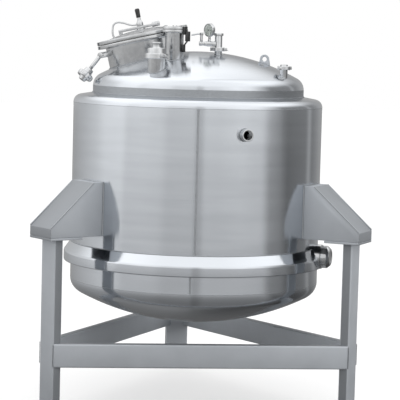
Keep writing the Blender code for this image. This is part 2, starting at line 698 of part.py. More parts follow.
def build_sight_glass(head):
    frame = nozzle_frame(SIGHT)
    drill(head, SIGHT_TUBE + GAP, frame, "sight_hole")
    bore = SIGHT_TUBE - SIGHT_WALL
    ledge = SIGHT_SEAT - SIGHT_LEDGE
    neck = [(SIGHT_FLANGE, SIGHT_SEAT), (SIGHT_FLANGE, ledge), (SIGHT_TUBE, ledge), (SIGHT_TUBE, SIGHT_DEPTH),
            (bore, SIGHT_DEPTH), (bore, SIGHT_SEAT)]
    turned("sight_neck", neck, frame, STEEL_FINISH, closed=True)
    seat = SIGHT_SEAT + GAP
    lid = seat + PANE_THICK
    pane = [(0.0, lid), (PANE_RADIUS, lid), (PANE_RADIUS, seat), (0.0, seat)]
    turned("sight_pane", pane, frame, GLASS_FINISH)
    room = PANE_RADIUS + GAP
    view = PANE_RADIUS - PANE_SEAT
    cover = [(SIGHT_FLANGE, SIGHT_TOP), (SIGHT_FLANGE, seat), (room, seat), (room, lid + GAP),
             (view, lid + GAP), (view, SIGHT_TOP)]
    turned("sight_cover", cover, frame, STEEL_FINISH, closed=True)


def build_top_nozzles(head):
    frame = nozzle_frame(CAPPED)
    drill(head, CAPPED_SIZES[0] + GAP, frame, "capped_hole")
    cap = clamp_set("capped_nozzle", CAPPED_SIZES, NOZZLE_DEPTH, CAPPED_PART, frame, CAPPED_TOP)
    ends = (0, 0, CAPPED_TOP - 0.006), (0, 0, SPIGOT_TOP)
    spigot = rod("capped_spigot", *ends, SPIGOT_RADIUS, frame, STEEL_FINISH, SMALL_ROUND)
    boolean(cap, make_cutter(spigot), "UNION")
    frame = nozzle_frame(SIDE)
    drill(head, SMALL_SIZES[0] + GAP, frame, "side_hole")
    clamp_set("side_nozzle", SMALL_SIZES, NOZZLE_DEPTH, SIDE_PART, frame, SIDE_TOP)


def build_riser(head):
    """A clamped riser with a side branch and a flat cap."""
    foot = nozzle_frame(RISER).translation
    upright = Matrix.Translation(foot) @ Matrix.Rotation(math.radians(RISER_TURN), 4, "Z")
    tube = SMALL_SIZES[0]
    flange = SMALL_SIZES[2]
    lip = RISER_PART + FERRULE_LIP
    drill(head, tube + GAP, upright, "riser_hole")
    clamp_set("riser_nozzle", SMALL_SIZES, RISER_DEPTH, RISER_PART, upright)
    body = [(0.0, RISER_TOP), (tube, RISER_TOP), (tube, lip), (flange, lip), (flange, RISER_PART + GAP),
            (0.0, RISER_PART + GAP)]
    tee = turned("riser_tee", body, upright, STEEL_FINISH)
    ends = (0, 0, BRANCH_Z), (BRANCH_END, 0, BRANCH_Z)
    branch = rod("riser_branch", *ends, BRANCH_RADIUS, upright, STEEL_FINISH, SMALL_ROUND)
    ends = (GAUGE_X, 0, BRANCH_Z), (GAUGE_X, 0, BOSS_TOP)
    boss = rod("gauge_boss", *ends, GAUGE_BOSS, upright, STEEL_FINISH)
    for extra in (branch, boss):
        boolean(tee, make_cutter(extra), "UNION")
    seat = RISER_TOP + GAP
    cap = [(0.0, RISER_CAP[0][1]), *RISER_CAP, (RISER_CAP[-1][0], seat), (0.0, seat)]
    turned("riser_cap", cap, upright, STEEL_FINISH)
    return upright


def build_gauge(upright):
    """A round gauge on a short stem, and beside it a small cock with a lever on top."""
    face = Matrix.Rotation(math.radians(GAUGE_TURN), 4, "Z") @ Matrix.Rotation(math.pi / 2, 4, "Y")
    place = upright @ Matrix.Translation((GAUGE_X, 0.0, GAUGE_Z)) @ face
    dial = GAUGE_RADIUS - GAUGE_BEZEL
    section = [(0.0, GAUGE_DISH), (dial, GAUGE_DISH), (dial + 0.001, GAUGE_HALF), (GAUGE_RADIUS, GAUGE_HALF),
               (GAUGE_RADIUS, 0.002 - GAUGE_HALF), (dial, -GAUGE_HALF), (0.0, -GAUGE_HALF)]
    case = turned("gauge_case", section, place, STEEL_FINISH)
    ends = (GAUGE_X, 0, BOSS_TOP + GAP), (GAUGE_X, 0, GAUGE_STEM_TOP)
    boolean(case, make_cutter(rod("gauge_stem", *ends, GAUGE_STEM, upright, STEEL_FINISH)), "UNION")
    ends = (BRANCH_END + GAP, 0, BRANCH_Z), (COCK_END, 0, BRANCH_Z)
    cock = rod("vent_cock", *ends, COCK_RADIUS, upright, STEEL_FINISH, SMALL_ROUND)
    ends = (LEVER_X, 0, BRANCH_Z), (LEVER_X, 0, LEVER_Z)
    boolean(cock, make_cutter(rod("cock_neck", *ends, COCK_NECK, upright, STEEL_FINISH)), "UNION")
    hub = upright @ Matrix.Translation((LEVER_X, 0.0, LEVER_Z + GAP))
    radius, height = LEVER_HUB
    lever = rod("vent_lever", (0, 0, 0), (0, 0, height), radius, hub, STEEL_FINISH, SMALL_ROUND)
    ends = (0.004, 0, height / 2), (LEVER_REACH, 0, 0)
    boolean(lever, make_cutter(rod("lever_arm", *ends, LEVER_ARM, hub, STEEL_FINISH)), "UNION")


def build_lifting_lugs(envelope):
    """Upright plates on the head, each with a round eye. The head trims their feet."""
    turns = [math.pi * step / LUG_STEPS for step in range(LUG_STEPS + 1)]
    head = [(LUG_RADIUS * math.cos(turn), LUG_EYE_Z + LUG_RADIUS * math.sin(turn)) for turn in turns]
    points = [(-LUG_FOOT, LUG_DEPTH), (LUG_FOOT, LUG_DEPTH), (LUG_FOOT - 0.002, LUG_BEND), *head,
              (0.002 - LUG_FOOT, LUG_BEND)]
    for side, place in LUGS.items():
        frame = nozzle_frame(place) @ Matrix.Rotation(math.pi / 2, 4, "X")
        lug = outline(f"lifting_lug_{side}", points, LUG_THICK, frame, STEEL_FINISH)
        ends = (0, LUG_EYE_Z, -0.02), (0, LUG_EYE_Z, 0.02)
        eye = rod(f"lug_eye_{side}", *ends, LUG_BORE, frame, STEEL_FINISH, SMALL_ROUND)
        boolean(lug, make_cutter(eye))
        boolean(lug, envelope)


def side_frame(azimuth, height):
    """Frame on the jacket's outside, Z pointing straight out."""
    outside = axis_frame(azimuth) @ Matrix.Translation((JACKET_RADIUS, 0, height))
    return outside @ Matrix.Rotation(math.pi / 2, 4, "Y")


def build_side_fittings(jacket, ring, envelope):
    """A threaded socket through the jacket, and a collar with a cup-shaped cap that breaks the ring."""
    frame = side_frame(SOCKET_AZIMUTH, SOCKET_HEIGHT)
    drill(jacket, SOCKET_RADIUS + GAP, frame, "socket_hole")
    tube = [(SOCKET_RADIUS, SOCKET_OUT), (SOCKET_RADIUS, -SOCKET_IN), (SOCKET_BORE, -SOCKET_IN),
            (SOCKET_BORE, SOCKET_OUT)]
    turned("jacket_socket", tube, frame, STEEL_FINISH, closed=True)
    frame = side_frame(RING_NOZZLE_AZIMUTH, RING_NOZZLE_HEIGHT)
    drill(ring, COLLAR_FOOT + GAP, frame, "ring_break")
    bore = COLLAR_RADIUS - COLLAR_WALL
    foot = RING_CAP_START - GAP
    collar = [(COLLAR_RADIUS, COLLAR_END), (COLLAR_RADIUS, foot), (COLLAR_FOOT, foot),
              (COLLAR_FOOT, -COLLAR_IN), (bore, -COLLAR_IN), (bore, COLLAR_END)]
    boolean(turned("ring_nozzle", collar, frame, STEEL_FINISH, closed=True), envelope)
    skirt = COLLAR_RADIUS + GAP
    roof = COLLAR_END + GAP
    cap = [(0.0, RING_CAP_END), (RING_CAP_NARROW, RING_CAP_END), (RING_CAP_RADIUS, RING_CAP_EDGE),
           (RING_CAP_RADIUS, RING_CAP_START), (skirt, RING_CAP_START), (skirt, roof), (0.0, roof)]
    turned("ring_nozzle_cap", cap, frame, STEEL_FINISH)


def build_bracket(side, azimuth, envelope):
    """A hollow gusset welded to the jacket, open below, and the base plate under its outer end."""
    frame = axis_frame(azimuth)
    upright = frame @ Matrix.Rotation(math.pi / 2, 4, "X")
    floor = LEG_TOP + BASE_PLATE + GAP
    inside = BRACKET_IN
    beyond = inside - 0.05
    below_floor = floor - 0.05
    wall = BRACKET_WALL
    slope = (BRACKET_OUT - BRACKET_SHOULDER) / (BRACKET_TOP - floor - BRACKET_LIP)
    back = wall * (math.hypot(1.0, slope) - slope)
    outer = [(inside, floor), (BRACKET_OUT, floor), (BRACKET_OUT, floor + BRACKET_LIP),
             (BRACKET_SHOULDER, BRACKET_TOP), (inside, BRACKET_TOP)]
    drop = wall * (math.hypot(1.0, slope) - 1.0) / slope
    hollow = [(beyond, below_floor), (BRACKET_OUT - wall, below_floor),
              (BRACKET_OUT - wall, floor + BRACKET_LIP - drop),
              (BRACKET_SHOULDER - back, BRACKET_TOP - wall), (beyond, BRACKET_TOP - wall)]
    gusset = outline(f"gusset_{side}", outer, 2 * BRACKET_HALF_WIDTH, upright, PAINT_FINISH)
    core = outline(f"gusset_core_{side}", hollow, 2 * (BRACKET_HALF_WIDTH - wall), upright, PAINT_FINISH)
    boolean(gusset, make_cutter(core))
    boolean(gusset, envelope)
    block(f"base_plate_{side}", (BASE_IN, -BRACKET_HALF_WIDTH, LEG_TOP),
          (BRACKET_OUT, BRACKET_HALF_WIDTH, LEG_TOP + BASE_PLATE), frame, PAINT_FINISH)


def leg_block(name, frame, grow, low, high):
    """A solid of the leg's section, grown on every side."""
    deep = LEG_DEEP / 2 + grow
    wide = LEG_WIDE / 2 + grow
    return block(name, (LEG_CENTRE - deep, -wide, low), (LEG_CENTRE + deep, wide, high), frame, PAINT_FINISH)


def build_leg(side, azimuth):
    """A hollow leg on a flat foot plate."""
    frame = axis_frame(azimuth)
    leg = leg_block(f"leg_{side}", frame, 0.0, FOOT_THICK / 2, LEG_TOP - GAP)
    foot = block(f"foot_{side}", (LEG_CENTRE - FOOT_DEEP / 2, -FOOT_WIDE / 2, 0.0),
                 (LEG_CENTRE + FOOT_DEEP / 2, FOOT_WIDE / 2, FOOT_THICK), frame, PAINT_FINISH)
    boolean(leg, make_cutter(foot), "UNION")
    core = leg_block(f"leg_core_{side}", frame, -TUBE_WALL, FOOT_THICK, LEG_TOP + 0.05)
    boolean(leg, make_cutter(core))
    return make_cutter(leg_block(f"leg_room_{side}", frame, GAP, 0.0, LEG_TOP))


def build_beam(name, azimuth, rooms):
    """A hollow beam between two legs. Its outer face is flush with the legs' outer corners."""
    frame = axis_frame(azimuth)
    spread = math.radians(60.0)
    outer = LEG_CENTRE + LEG_DEEP / 2
    reach = outer * math.cos(spread) + LEG_WIDE / 2 * math.sin(spread)
    half = outer * math.sin(spread) - LEG_WIDE / 2 * math.cos(spread) - GAP
    top = BEAM_BOTTOM + BEAM_TALL
    beam = block(name, (reach - LEG_DEEP, -half, BEAM_BOTTOM), (reach, half, top), frame, PAINT_FINISH)
    core = block(name + "_core", (reach - LEG_DEEP + TUBE_WALL, -half - 0.1, BEAM_BOTTOM + TUBE_WALL),
                 (reach - TUBE_WALL, half + 0.1, top - TUBE_WALL), frame, PAINT_FINISH)
    boolean(beam, make_cutter(core))
    for room in rooms:
        boolean(beam, room)


def build_stand(envelope):
    azimuths = {"back": BACK, "left": LEFT, "right": RIGHT}
    rooms = {}
    for side, azimuth in azimuths.items():
        build_bracket(side, azimuth, envelope)
        rooms[side] = build_leg(side, azimuth)
    build_beam("beam_front", 270.0, (rooms["left"], rooms["right"]))
    build_beam("beam_right", 30.0, (rooms["right"], rooms["back"]))
    build_beam("beam_left", 150.0, (rooms["left"], rooms["back"]))


clear_scene()
PARTS = make_collection("stainless_steel_tank")
CUTTERS = make_collection("cutters")
top_head = build_vessel()
jacket_shell = build_jacket()
half_pipe = build_ring()
head_room = build_head_envelope()
jacket_room = build_jacket_envelope()
build_manway(top_head)
build_sight_glass(top_head)
build_top_nozzles(top_head)
build_gauge(build_riser(top_head))
build_lifting_lugs(head_room)
build_side_fittings(jacket_shell, half_pipe, jacket_room)
build_stand(jacket_room)
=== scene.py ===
# %% [markdown]
# # A jacketed stainless steel tank on a three-legged stand
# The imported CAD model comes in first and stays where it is: it is the skeleton that every finished piece is
# set against. Its round pieces have few sides, so most of them get a smooth stand-in at the same place, and
# the flat ones get a copy with softened edges. Small things such as weld beads and bolts are added on top.

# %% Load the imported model
from math import asin, atan2, cos, hypot, pi, radians, sin, sqrt, tan

import bpy
from mathutils import Matrix, Vector


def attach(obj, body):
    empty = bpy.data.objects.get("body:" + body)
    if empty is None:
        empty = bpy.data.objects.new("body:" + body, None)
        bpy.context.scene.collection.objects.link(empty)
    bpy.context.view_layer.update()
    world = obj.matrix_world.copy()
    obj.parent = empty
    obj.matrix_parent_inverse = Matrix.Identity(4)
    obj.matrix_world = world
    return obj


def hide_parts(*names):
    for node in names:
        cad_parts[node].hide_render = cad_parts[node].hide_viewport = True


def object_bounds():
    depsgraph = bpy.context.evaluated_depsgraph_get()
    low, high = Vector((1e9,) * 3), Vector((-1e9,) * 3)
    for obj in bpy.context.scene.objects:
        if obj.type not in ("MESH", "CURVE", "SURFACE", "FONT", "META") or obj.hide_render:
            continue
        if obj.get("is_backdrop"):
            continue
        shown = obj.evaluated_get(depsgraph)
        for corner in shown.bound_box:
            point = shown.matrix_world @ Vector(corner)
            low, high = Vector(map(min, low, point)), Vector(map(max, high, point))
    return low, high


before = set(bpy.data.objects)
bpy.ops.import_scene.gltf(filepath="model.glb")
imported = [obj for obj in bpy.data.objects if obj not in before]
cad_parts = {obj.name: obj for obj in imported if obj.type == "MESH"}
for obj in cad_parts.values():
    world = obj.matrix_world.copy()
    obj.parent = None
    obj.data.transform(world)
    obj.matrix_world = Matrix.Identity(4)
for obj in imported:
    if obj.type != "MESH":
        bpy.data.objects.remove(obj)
cad_low, cad_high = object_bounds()

print("CAD nodes:", len(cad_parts), "box:", [round(v, 3) for v in (*cad_low, *cad_high)])

# %% [markdown]
# ## Places
# The tank is round, but its axis isn't at the origin, because the footprint is centred there. Each group of
# pieces is easiest to model upright at the origin and then put in place, so every group gets a frame: a
# matrix that says where its foot is and how it leans. The numbers repeat the CAD's driving dimensions.

# %% Frames of the tank
AXIS_Y = -0.1295
GAP = 0.0003
VESSEL = {"radius": 0.550, "crown": 1.100, "knuckle": 0.066}
JACKET = {"radius": 0.650, "crown": 1.300, "knuckle": 0.078}
VESSEL_TOP_TANGENT = 1.634


def moved(x, y, z):
    """A frame moved away from the origin."""
    return Matrix.Translation((x, y, z))


def turned(degrees, axis="Z"):
    """A frame turned about one of its axes."""
    return Matrix.Rotation(radians(degrees), 4, axis)


def about_axis(azimuth=0.0):
    """Frame on the tank's axis at floor level, X pointing along the azimuth."""
    return moved(0, AXIS_Y, 0) @ turned(azimuth)


def ball_centre():
    """Height of the centre of the ball that the top head's crown is part of."""
    reach = VESSEL["crown"] - VESSEL["knuckle"]
    return VESSEL_TOP_TANGENT - sqrt(reach ** 2 - (VESSEL["radius"] - VESSEL["knuckle"]) ** 2)


def on_head(azimuth, radius):
    """Upright frame with its foot on the head's outside, X pointing away from the axis."""
    height = ball_centre() + sqrt(VESSEL["crown"] ** 2 - radius ** 2)
    return about_axis(azimuth) @ moved(radius, 0, height)


def on_jacket(azimuth, height):
    """Frame on the jacket's outside, Z pointing straight out."""
    return about_axis(azimuth) @ moved(JACKET["radius"], 0, height) @ turned(90, "Y")


def manway():
    """Frame of the manway: its foot is on the crown, and its neck leans outwards."""
    off_pole, lean = 14.5, 13.0
    centre = about_axis(171.0) @ moved(0, 0, ball_centre())
    foot = turned(off_pole, "Y") @ moved(0, 0, VESSEL["crown"])
    return centre @ foot @ turned(lean - off_pole, "Y")


MANWAY = manway()
HINGED = MANWAY @ turned(50.0)
BOLT = MANWAY @ turned(20.0) @ moved(0.240, 0, 0.055)
SIGHT = on_head(236.4, 0.276)
CAPPED = on_head(235.0, 0.440)
SIDE = on_head(327.0, 0.487)
SOCKET_HEIGHT = 1.422
SOCKET = on_jacket(285.0, SOCKET_HEIGHT)
RISER = moved(*on_head(296.9, 0.179).translation) @ turned(174.0)
print("head apex at", round(ball_centre() + VESSEL["crown"], 4), "m")

# %% [markdown]
# ## The camera
# The picture was taken from about nine metres away with a long lens, a little to the left of the front, at
# the height of a standing person's eyes, looking slightly down and with the horizon turned by 1.5 degrees.
# The camera's matrix is put together from those few facts. The lens follows from the picture's scale.

# %% The camera
CAMERA_AZIMUTH = 264.0
DISTANCE = 9.3
EYE_HEIGHT = 1.88
PICTURE = 400
FOCAL_PIXELS = 1775.0
AXIS_PIXEL = 195.45
SENSOR = 36.0


def photo_camera():
    """The camera of the photograph, as a matrix."""
    azimuth = radians(CAMERA_AZIMUTH)
    away = Vector((cos(azimuth), sin(azimuth), 0))
    right = Vector((-away.y, away.x, 0))
    pitch, roll = radians(-5.15), radians(1.5)
    yaw = atan2(PICTURE / 2 - AXIS_PIXEL, FOCAL_PIXELS)
    ahead = -away * cos(pitch) + Vector((0, 0, 1)) * sin(pitch)
    up = right.cross(ahead)
    look = ahead * cos(yaw) + right * sin(yaw)
    side = right * cos(yaw) - ahead * sin(yaw)
    side, up = side * cos(roll) + up * sin(roll), up * cos(roll) - side * sin(roll)
    place = Vector((0, AXIS_Y, EYE_HEIGHT)) + away * DISTANCE
    return Matrix.Translation(place) @ Matrix((side, up, -look)).transposed().to_4x4()


def fresh(name, operator, **values):
    """Run an operator that adds one object, and name the object."""
    bpy.ops.object.select_all(action="DESELECT")
    operator(**values)
    thing = bpy.context.object
    thing.name = thing.data.name = name
    return thing


camera = fresh("photo_camera", bpy.ops.object.camera_add)
camera.matrix_world = photo_camera()
camera.data.sensor_width = SENSOR
camera.data.lens = FOCAL_PIXELS * SENSOR / PICTURE
bpy.context.scene.camera = camera
print("camera at", [round(v, 2) for v in camera.location], "lens", round(camera.data.lens, 1), "mm")

# %% [markdown]
# ## Adding shader nodes
# Every finish below is a small tree of nodes on a Principled shader. One function adds a node, sets its
# settings, and fills each input with a number or with a link. Colours are written as sRGB hex values, as a
# colour picker shows them, and turned to the linear values that the renderer works with.

# %% Nodes and colours


def linear(code):
    """A hex colour as linear RGBA."""
    parts = [int(code[i:i + 2], 16) / 255 for i in (1, 3, 5)]
    return (*[p / 12.92 if p <= 0.04045 else ((p + 0.055) / 1.055) ** 2.4 for p in parts], 1.0)


def add(tree, kind, inputs=None, stops=(), **settings):
    """Add one shader node with its settings. Each input is a value or another node's output.

    "TexNoise.Fac" adds a TexNoise and returns its Fac output, and a plain "TexNoise" returns the node.
    A colour ramp also takes its stops, each a place and a grey or a colour.
    """
    kind, _, output = kind.partition(".")
    made = tree.nodes.new("ShaderNode" + kind)
    for name, value in settings.items():
        setattr(made, name, value)
    for name, value in (inputs or {}).items():
        if isinstance(value, bpy.types.NodeSocket):
            tree.links.new(value, made.inputs[name])
        else:
            made.inputs[name].default_value = value
    while stops and len(made.color_ramp.elements) < len(stops):
        made.color_ramp.elements.new(0.5)
    for index, (spot, shade) in enumerate(stops):
        stop = made.color_ramp.elements[index]
        stop.position = spot
        stop.color = shade if isinstance(shade, tuple) else (shade, shade, shade, 1.0)
    return made.outputs[output] if output else made


def wire(tree, node, **sockets):
    """Link sockets to a node's inputs."""
    for name, socket in sockets.items():
        tree.links.new(socket, node.inputs[name.replace("_", " ")])


def new_finish(name, **values):
    """A material with a Principled shader whose plain values are set. Returns it, its tree and its shader."""
    finish = bpy.data.materials.new(name)
    finish.use_nodes = True
    shader = finish.node_tree.nodes["Principled BSDF"]
    for key, value in values.items():
        shader.inputs[key.replace("_", " ")].default_value = value
    return finish, finish.node_tree, shader


# %% [markdown]
# ## Ground and polished stainless steel
# The shells are 304 stainless sheet, ground round the axis with a fine belt and then polished. The belt
# leaves thin lines that run round the tank, so a highlight stays narrow from side to side and is drawn out
# from top to bottom: that is what anisotropy does here. Its tangent runs round the axis, worked out from
# the place on the surface, so no UV map is needed. Real belt lines are about 0.1 mm apart, too fine to see
# in the picture, so they are drawn about 2 mm apart. Hand polishing leaves broad soft patches that
# change the gloss a little, and thin sheet is never quite true, so a slow swell bends the reflections.

# %% Polished shell steel


def polished_shell_steel():
    """Steel with belt lines round the axis, soft polishing patches and a slow swell."""
    finish, tree, shader = new_finish("ground_and_polished_304_stainless", Metallic=1.0, Anisotropic=0.9,
                                      Anisotropic_Rotation=0.25)
    place = add(tree, "TexCoord.Object")
    centred = add(tree, "Mapping.Vector", {"Vector": place, "Location": (0, -AXIS_Y, 0)})
    x, y, z = add(tree, "SeparateXYZ", {"Vector": centred}).outputs
    flat = add(tree, "CombineXYZ.Vector", {"X": x, "Y": y})
    reach = add(tree, "VectorMath.Value", {0: flat}, operation="LENGTH")
    # along the section, height falls while the radius grows above the tank's middle, and rises below it
    middle = 1.1
    above = add(tree, "Math.Value", {0: z, 1: middle}, operation="GREATER_THAN")
    way = add(tree, "Math.Value", {0: above, 1: -2.0, 2: 1.0}, operation="MULTIPLY_ADD")
    along = add(tree, "Math.Value", {0: reach, 1: way, 2: z}, operation="MULTIPLY_ADD")
    belt = add(tree, "CombineXYZ.Vector", {"X": x, "Y": y, "Z": along})
    line_place = add(tree, "Mapping.Vector", {"Vector": belt, "Scale": (3.0, 3.0, 480.0)})
    lines = add(tree, "TexNoise.Fac", {"Vector": line_place, "Scale": 1.0, "Detail": 3.0, "Roughness": 0.6})
    band_place = add(tree, "Mapping.Vector", {"Vector": belt, "Scale": (1.5, 1.5, 16.0)})
    bands = add(tree, "TexNoise.Fac", {"Vector": band_place, "Scale": 1.0, "Detail": 2.0, "Roughness": 0.5})
    swell = add(tree, "TexNoise.Fac", {"Vector": centred, "Scale": 3.2, "Detail": 1.0, "Roughness": 0.4})
    gloss = add(tree, "Mix.Result", {"Factor": 0.45, "A": lines, "B": bands})
    rough = add(tree, "MapRange.Result", {"Value": gloss, "From Min": 0.3, "From Max": 0.7, "To Min": 0.12,
                                          "To Max": 0.18})
    tint = add(tree, "ValToRGB.Color", {"Fac": bands}, [(0.3, linear("#CCD0D5")), (0.7, linear("#D2D6DB"))])
    fine = add(tree, "Bump.Normal", {"Height": lines, "Strength": 0.03, "Distance": 0.0004})
    slow = add(tree, "Bump.Normal", {"Height": swell, "Strength": 0.36, "Distance": 0.004, "Normal": fine})
    round_axis = add(tree, "VectorMath.Vector", {0: (0, 0, 1), 1: flat}, operation="CROSS_PRODUCT")
    tangent = add(tree, "VectorMath.Vector", {0: round_axis}, operation="NORMALIZE")
    wire(tree, shader, Base_Color=tint, Roughness=rough, Normal=slow, Tangent=tangent)
    return finish


SHELL_STEEL = polished_shell_steel()

# %% [markdown]
# ## Machined fittings
# Nozzles, clamps and caps are turned or cast 316 stainless and polished. They are small and bright, with
# much sharper reflections than the shells, and faint turning marks about a millimetre apart.
#
# ## Blasted stand
# The stand is welded from stainless section and glass-bead blasted, which leaves an even, dull silver grey
# without a grain direction. Beads of about 0.2 mm leave pits that are too fine to see, so they are drawn
# ten times as large, with slow patches from handling on top. Light and shade are painted into its colour by
# the way a face looks from the tank's axis: the legs and beams are painted brighter on their broad outer and
# inner faces than on their sides, and the brackets' sloping covers are painted duller than their cheeks.
#
# ## Weld beads, plastic, rubber, glass
# A brushed weld is a row of small scales, a duller grey than the sheet. The grip is moulded phenolic
# plastic, black with a soft sheen. The gasket is moulded silicone rubber, milky and dull. The gauge's dial
# is baked white enamel. The sight glass is pressed soda-lime glass, faintly green.

# %% The other finishes


def machined_steel():
    """Bright steel with fine turning marks."""
    finish, tree, shader = new_finish("machined_and_polished_316_stainless", Metallic=1.0)
    place = add(tree, "TexCoord.Object")
    cuts = add(tree, "TexNoise.Fac", {"Vector": place, "Scale": 900.0, "Detail": 2.0, "Roughness": 0.5})
    patches = add(tree, "TexNoise.Fac", {"Vector": place, "Scale": 28.0, "Detail": 3.0, "Roughness": 0.6})
    tint = add(tree, "ValToRGB.Color", {"Fac": patches},
               [(0.3, linear("#BFC1C3")), (0.7, linear("#D0D1D2"))])
    rough = add(tree, "MapRange.Result", {"Value": patches, "From Min": 0.3, "From Max": 0.7,
                                          "To Min": 0.14, "To Max": 0.26})
    bump = add(tree, "Bump.Normal", {"Height": cuts, "Strength": 0.08, "Distance": 0.0003})
    wire(tree, shader, Base_Color=tint, Roughness=rough, Normal=bump)
    return finish


def blasted_steel(name, inner_face_light, side_face_light, outer_face_light):
    """Blasted steel with painted light and shade: its brightness is scaled on its inner, side and outer
    faces.
    """
    finish, tree, shader = new_finish(name, Metallic=0.5)
    source = add(tree, "TexCoord").outputs
    pits = add(tree, "TexNoise.Fac", {"Vector": source["Object"], "Scale": 480.0, "Detail": 3.0,
                                      "Roughness": 0.6})
    hands = add(tree, "TexNoise.Fac", {"Vector": source["Object"], "Scale": 7.0, "Detail": 4.0,
                                       "Roughness": 0.6})
    mixed = add(tree, "Mix.Result", {"Factor": 0.3, "A": hands, "B": pits})
    tint = add(tree, "ValToRGB.Color", {"Fac": mixed}, [(0.3, linear("#A9ADB2")), (0.7, linear("#B3B7BC"))])
    # how far a face looks away from the tank's axis: 1 straight out, 0 sideways
    flat = add(tree, "VectorMath.Vector", {0: source["Object"], 1: (0, AXIS_Y, 0)}, operation="SUBTRACT")
    flat = add(tree, "VectorMath.Vector", {0: flat, 1: (1, 1, 0)}, operation="MULTIPLY")
    out = add(tree, "VectorMath.Vector", {0: flat}, operation="NORMALIZE")
    facing = add(tree, "VectorMath.Value", {0: out, 1: source["Normal"]}, operation="DOT_PRODUCT")
    # painted light and shade: each face's brightness is set by the way it looks from the tank's axis
    light = add(tree, "MapRange.Result", {"Value": facing, "From Min": 0.15, "From Max": 0.45,
                                          "To Min": side_face_light, "To Max": outer_face_light})
    inner_painted_light = add(tree, "MapRange.Result", {"Value": facing, "From Min": -0.5, "From Max": -0.15,
                                           "To Min": inner_face_light / side_face_light, "To Max": 1.0})
    light = add(tree, "Math.Value", {0: light, 1: inner_painted_light}, operation="MULTIPLY")
    tint = add(tree, "VectorMath.Vector", {0: tint, "Scale": light}, operation="SCALE")
    rough = add(tree, "MapRange.Result", {"Value": mixed, "From Min": 0.3, "From Max": 0.7, "To Min": 0.46,
                                          "To Max": 0.58})
    bump = add(tree, "Bump.Normal", {"Height": pits, "Strength": 0.25, "Distance": 0.0006})
    wire(tree, shader, Base_Color=tint, Roughness=rough, Normal=bump)
    return finish


def weld_steel():
    """A duller grey steel with small scales."""
    finish, tree, shader = new_finish("brushed_weld_bead", Metallic=1.0)
    place = add(tree, "TexCoord.Object")
    scales = add(tree, "TexNoise.Fac", {"Vector": place, "Scale": 320.0, "Detail": 2.0})
    tint = add(tree, "ValToRGB.Color", {"Fac": scales},
               [(0.35, linear("#989B9F")), (0.65, linear("#B0B4B8"))])
    rough = add(tree, "MapRange.Result", {"Value": scales, "To Min": 0.3, "To Max": 0.55})
    bump = add(tree, "Bump.Normal", {"Height": scales, "Strength": 0.3, "Distance": 0.0008})
    wire(tree, shader, Base_Color=tint, Roughness=rough, Normal=bump)
    return finish


def plain_finish(name, dark, light, grain, low, high, depth, **values):
    """A moulded finish: two close shades in a fine grain, with its gloss between two values."""
    finish, tree, shader = new_finish(name, **values)
    place = add(tree, "TexCoord.Object")
    spots = add(tree, "TexNoise.Fac", {"Vector": place, "Scale": grain, "Detail": 3.0})
    tint = add(tree, "ValToRGB.Color", {"Fac": spots}, [(0.35, linear(dark)), (0.65, linear(light))])
    rough = add(tree, "MapRange.Result", {"Value": spots, "From Min": 0.3, "From Max": 0.7, "To Min": low,
                                          "To Max": high})
    bump = add(tree, "Bump.Normal", {"Height": spots, "Strength": 0.15, "Distance": depth})
    wire(tree, shader, Base_Color=tint, Roughness=rough, Normal=bump)
    return finish


FITTING_STEEL = machined_steel()
# painted shade: the brackets' covers are painted duller, and the legs' and beams' sides darker than their
# broad faces
STAND_STEEL = blasted_steel("bead_blasted_stainless_plate_painted_shade", 1.05, 1.05, 0.64)
LEG_STEEL = blasted_steel("bead_blasted_stainless_section_painted_shade", 1.30, 0.56, 1.04)
WELD_STEEL = weld_steel()
BLACK_PLASTIC = plain_finish("moulded_black_phenolic", "#131415", "#1C1D1F", 600.0, 0.28, 0.42, 0.0002,
                             IOR=1.6)
SILICONE = plain_finish("moulded_silicone_rubber", "#D5D4CC", "#E2E1DA", 300.0, 0.5, 0.65, 0.0003, IOR=1.41)
ENAMEL = plain_finish("white_dial_enamel", "#E9E9E6", "#F2F2F0", 200.0, 0.3, 0.4, 0.0001)
GLASS = plain_finish("pressed_soda_lime_glass", "#EDF3F0", "#F3F7F5", 60.0, 0.02, 0.05, 0.0001, IOR=1.52,
                     Transmission_Weight=0.9)

# %% [markdown]
# ## Ways to model
# Nearly everything on the tank is turned, folded from plate, or cut from bar. A turned piece starts as one
# point: it is extruded from corner to corner along the section, and the section is spun round the axis, as
# on a lathe. A plate is its outline, filled and extruded by its thickness. A bar is a cylinder with its
# ends chamfered. Each is made upright at the origin, and its frame is then applied to the mesh. A small
# bevel on every sharp edge catches the light, as the broken edge of real metal does.

# %% Lathe, slab and bar


def draw(name, points):
    """A chain of edges: one point, extruded from place to place."""
    thing = fresh(name, bpy.ops.mesh.primitive_plane_add, size=0.01)
    bpy.ops.object.mode_set(mode="EDIT")
    bpy.ops.mesh.select_all(action="SELECT")
    bpy.ops.mesh.merge(type="CENTER")
    bpy.ops.transform.translate(value=points[0])
    for here, there in zip(points, points[1:]):
        step = Vector(there) - Vector(here)
        bpy.ops.mesh.extrude_region_move(TRANSFORM_OT_translate={"value": step})
    bpy.ops.mesh.select_all(action="SELECT")
    return thing


def only(thing):
    """Select one object and nothing else."""
    bpy.ops.object.select_all(action="DESELECT")
    thing.select_set(True)
    bpy.context.view_layer.objects.active = thing


def put(thing, place):
    """Move a piece into its frame and apply that to its mesh."""
    only(thing)
    thing.matrix_world = place @ thing.matrix_world
    bpy.ops.object.transform_apply(location=True, rotation=True, scale=True)
    return thing


def face_outwards():
    """Turn every face of the piece in edit mode outwards, and leave edit mode."""
    bpy.ops.mesh.select_all(action="SELECT")
    bpy.ops.mesh.normals_make_consistent(inside=False)
    bpy.ops.object.mode_set(mode="OBJECT")


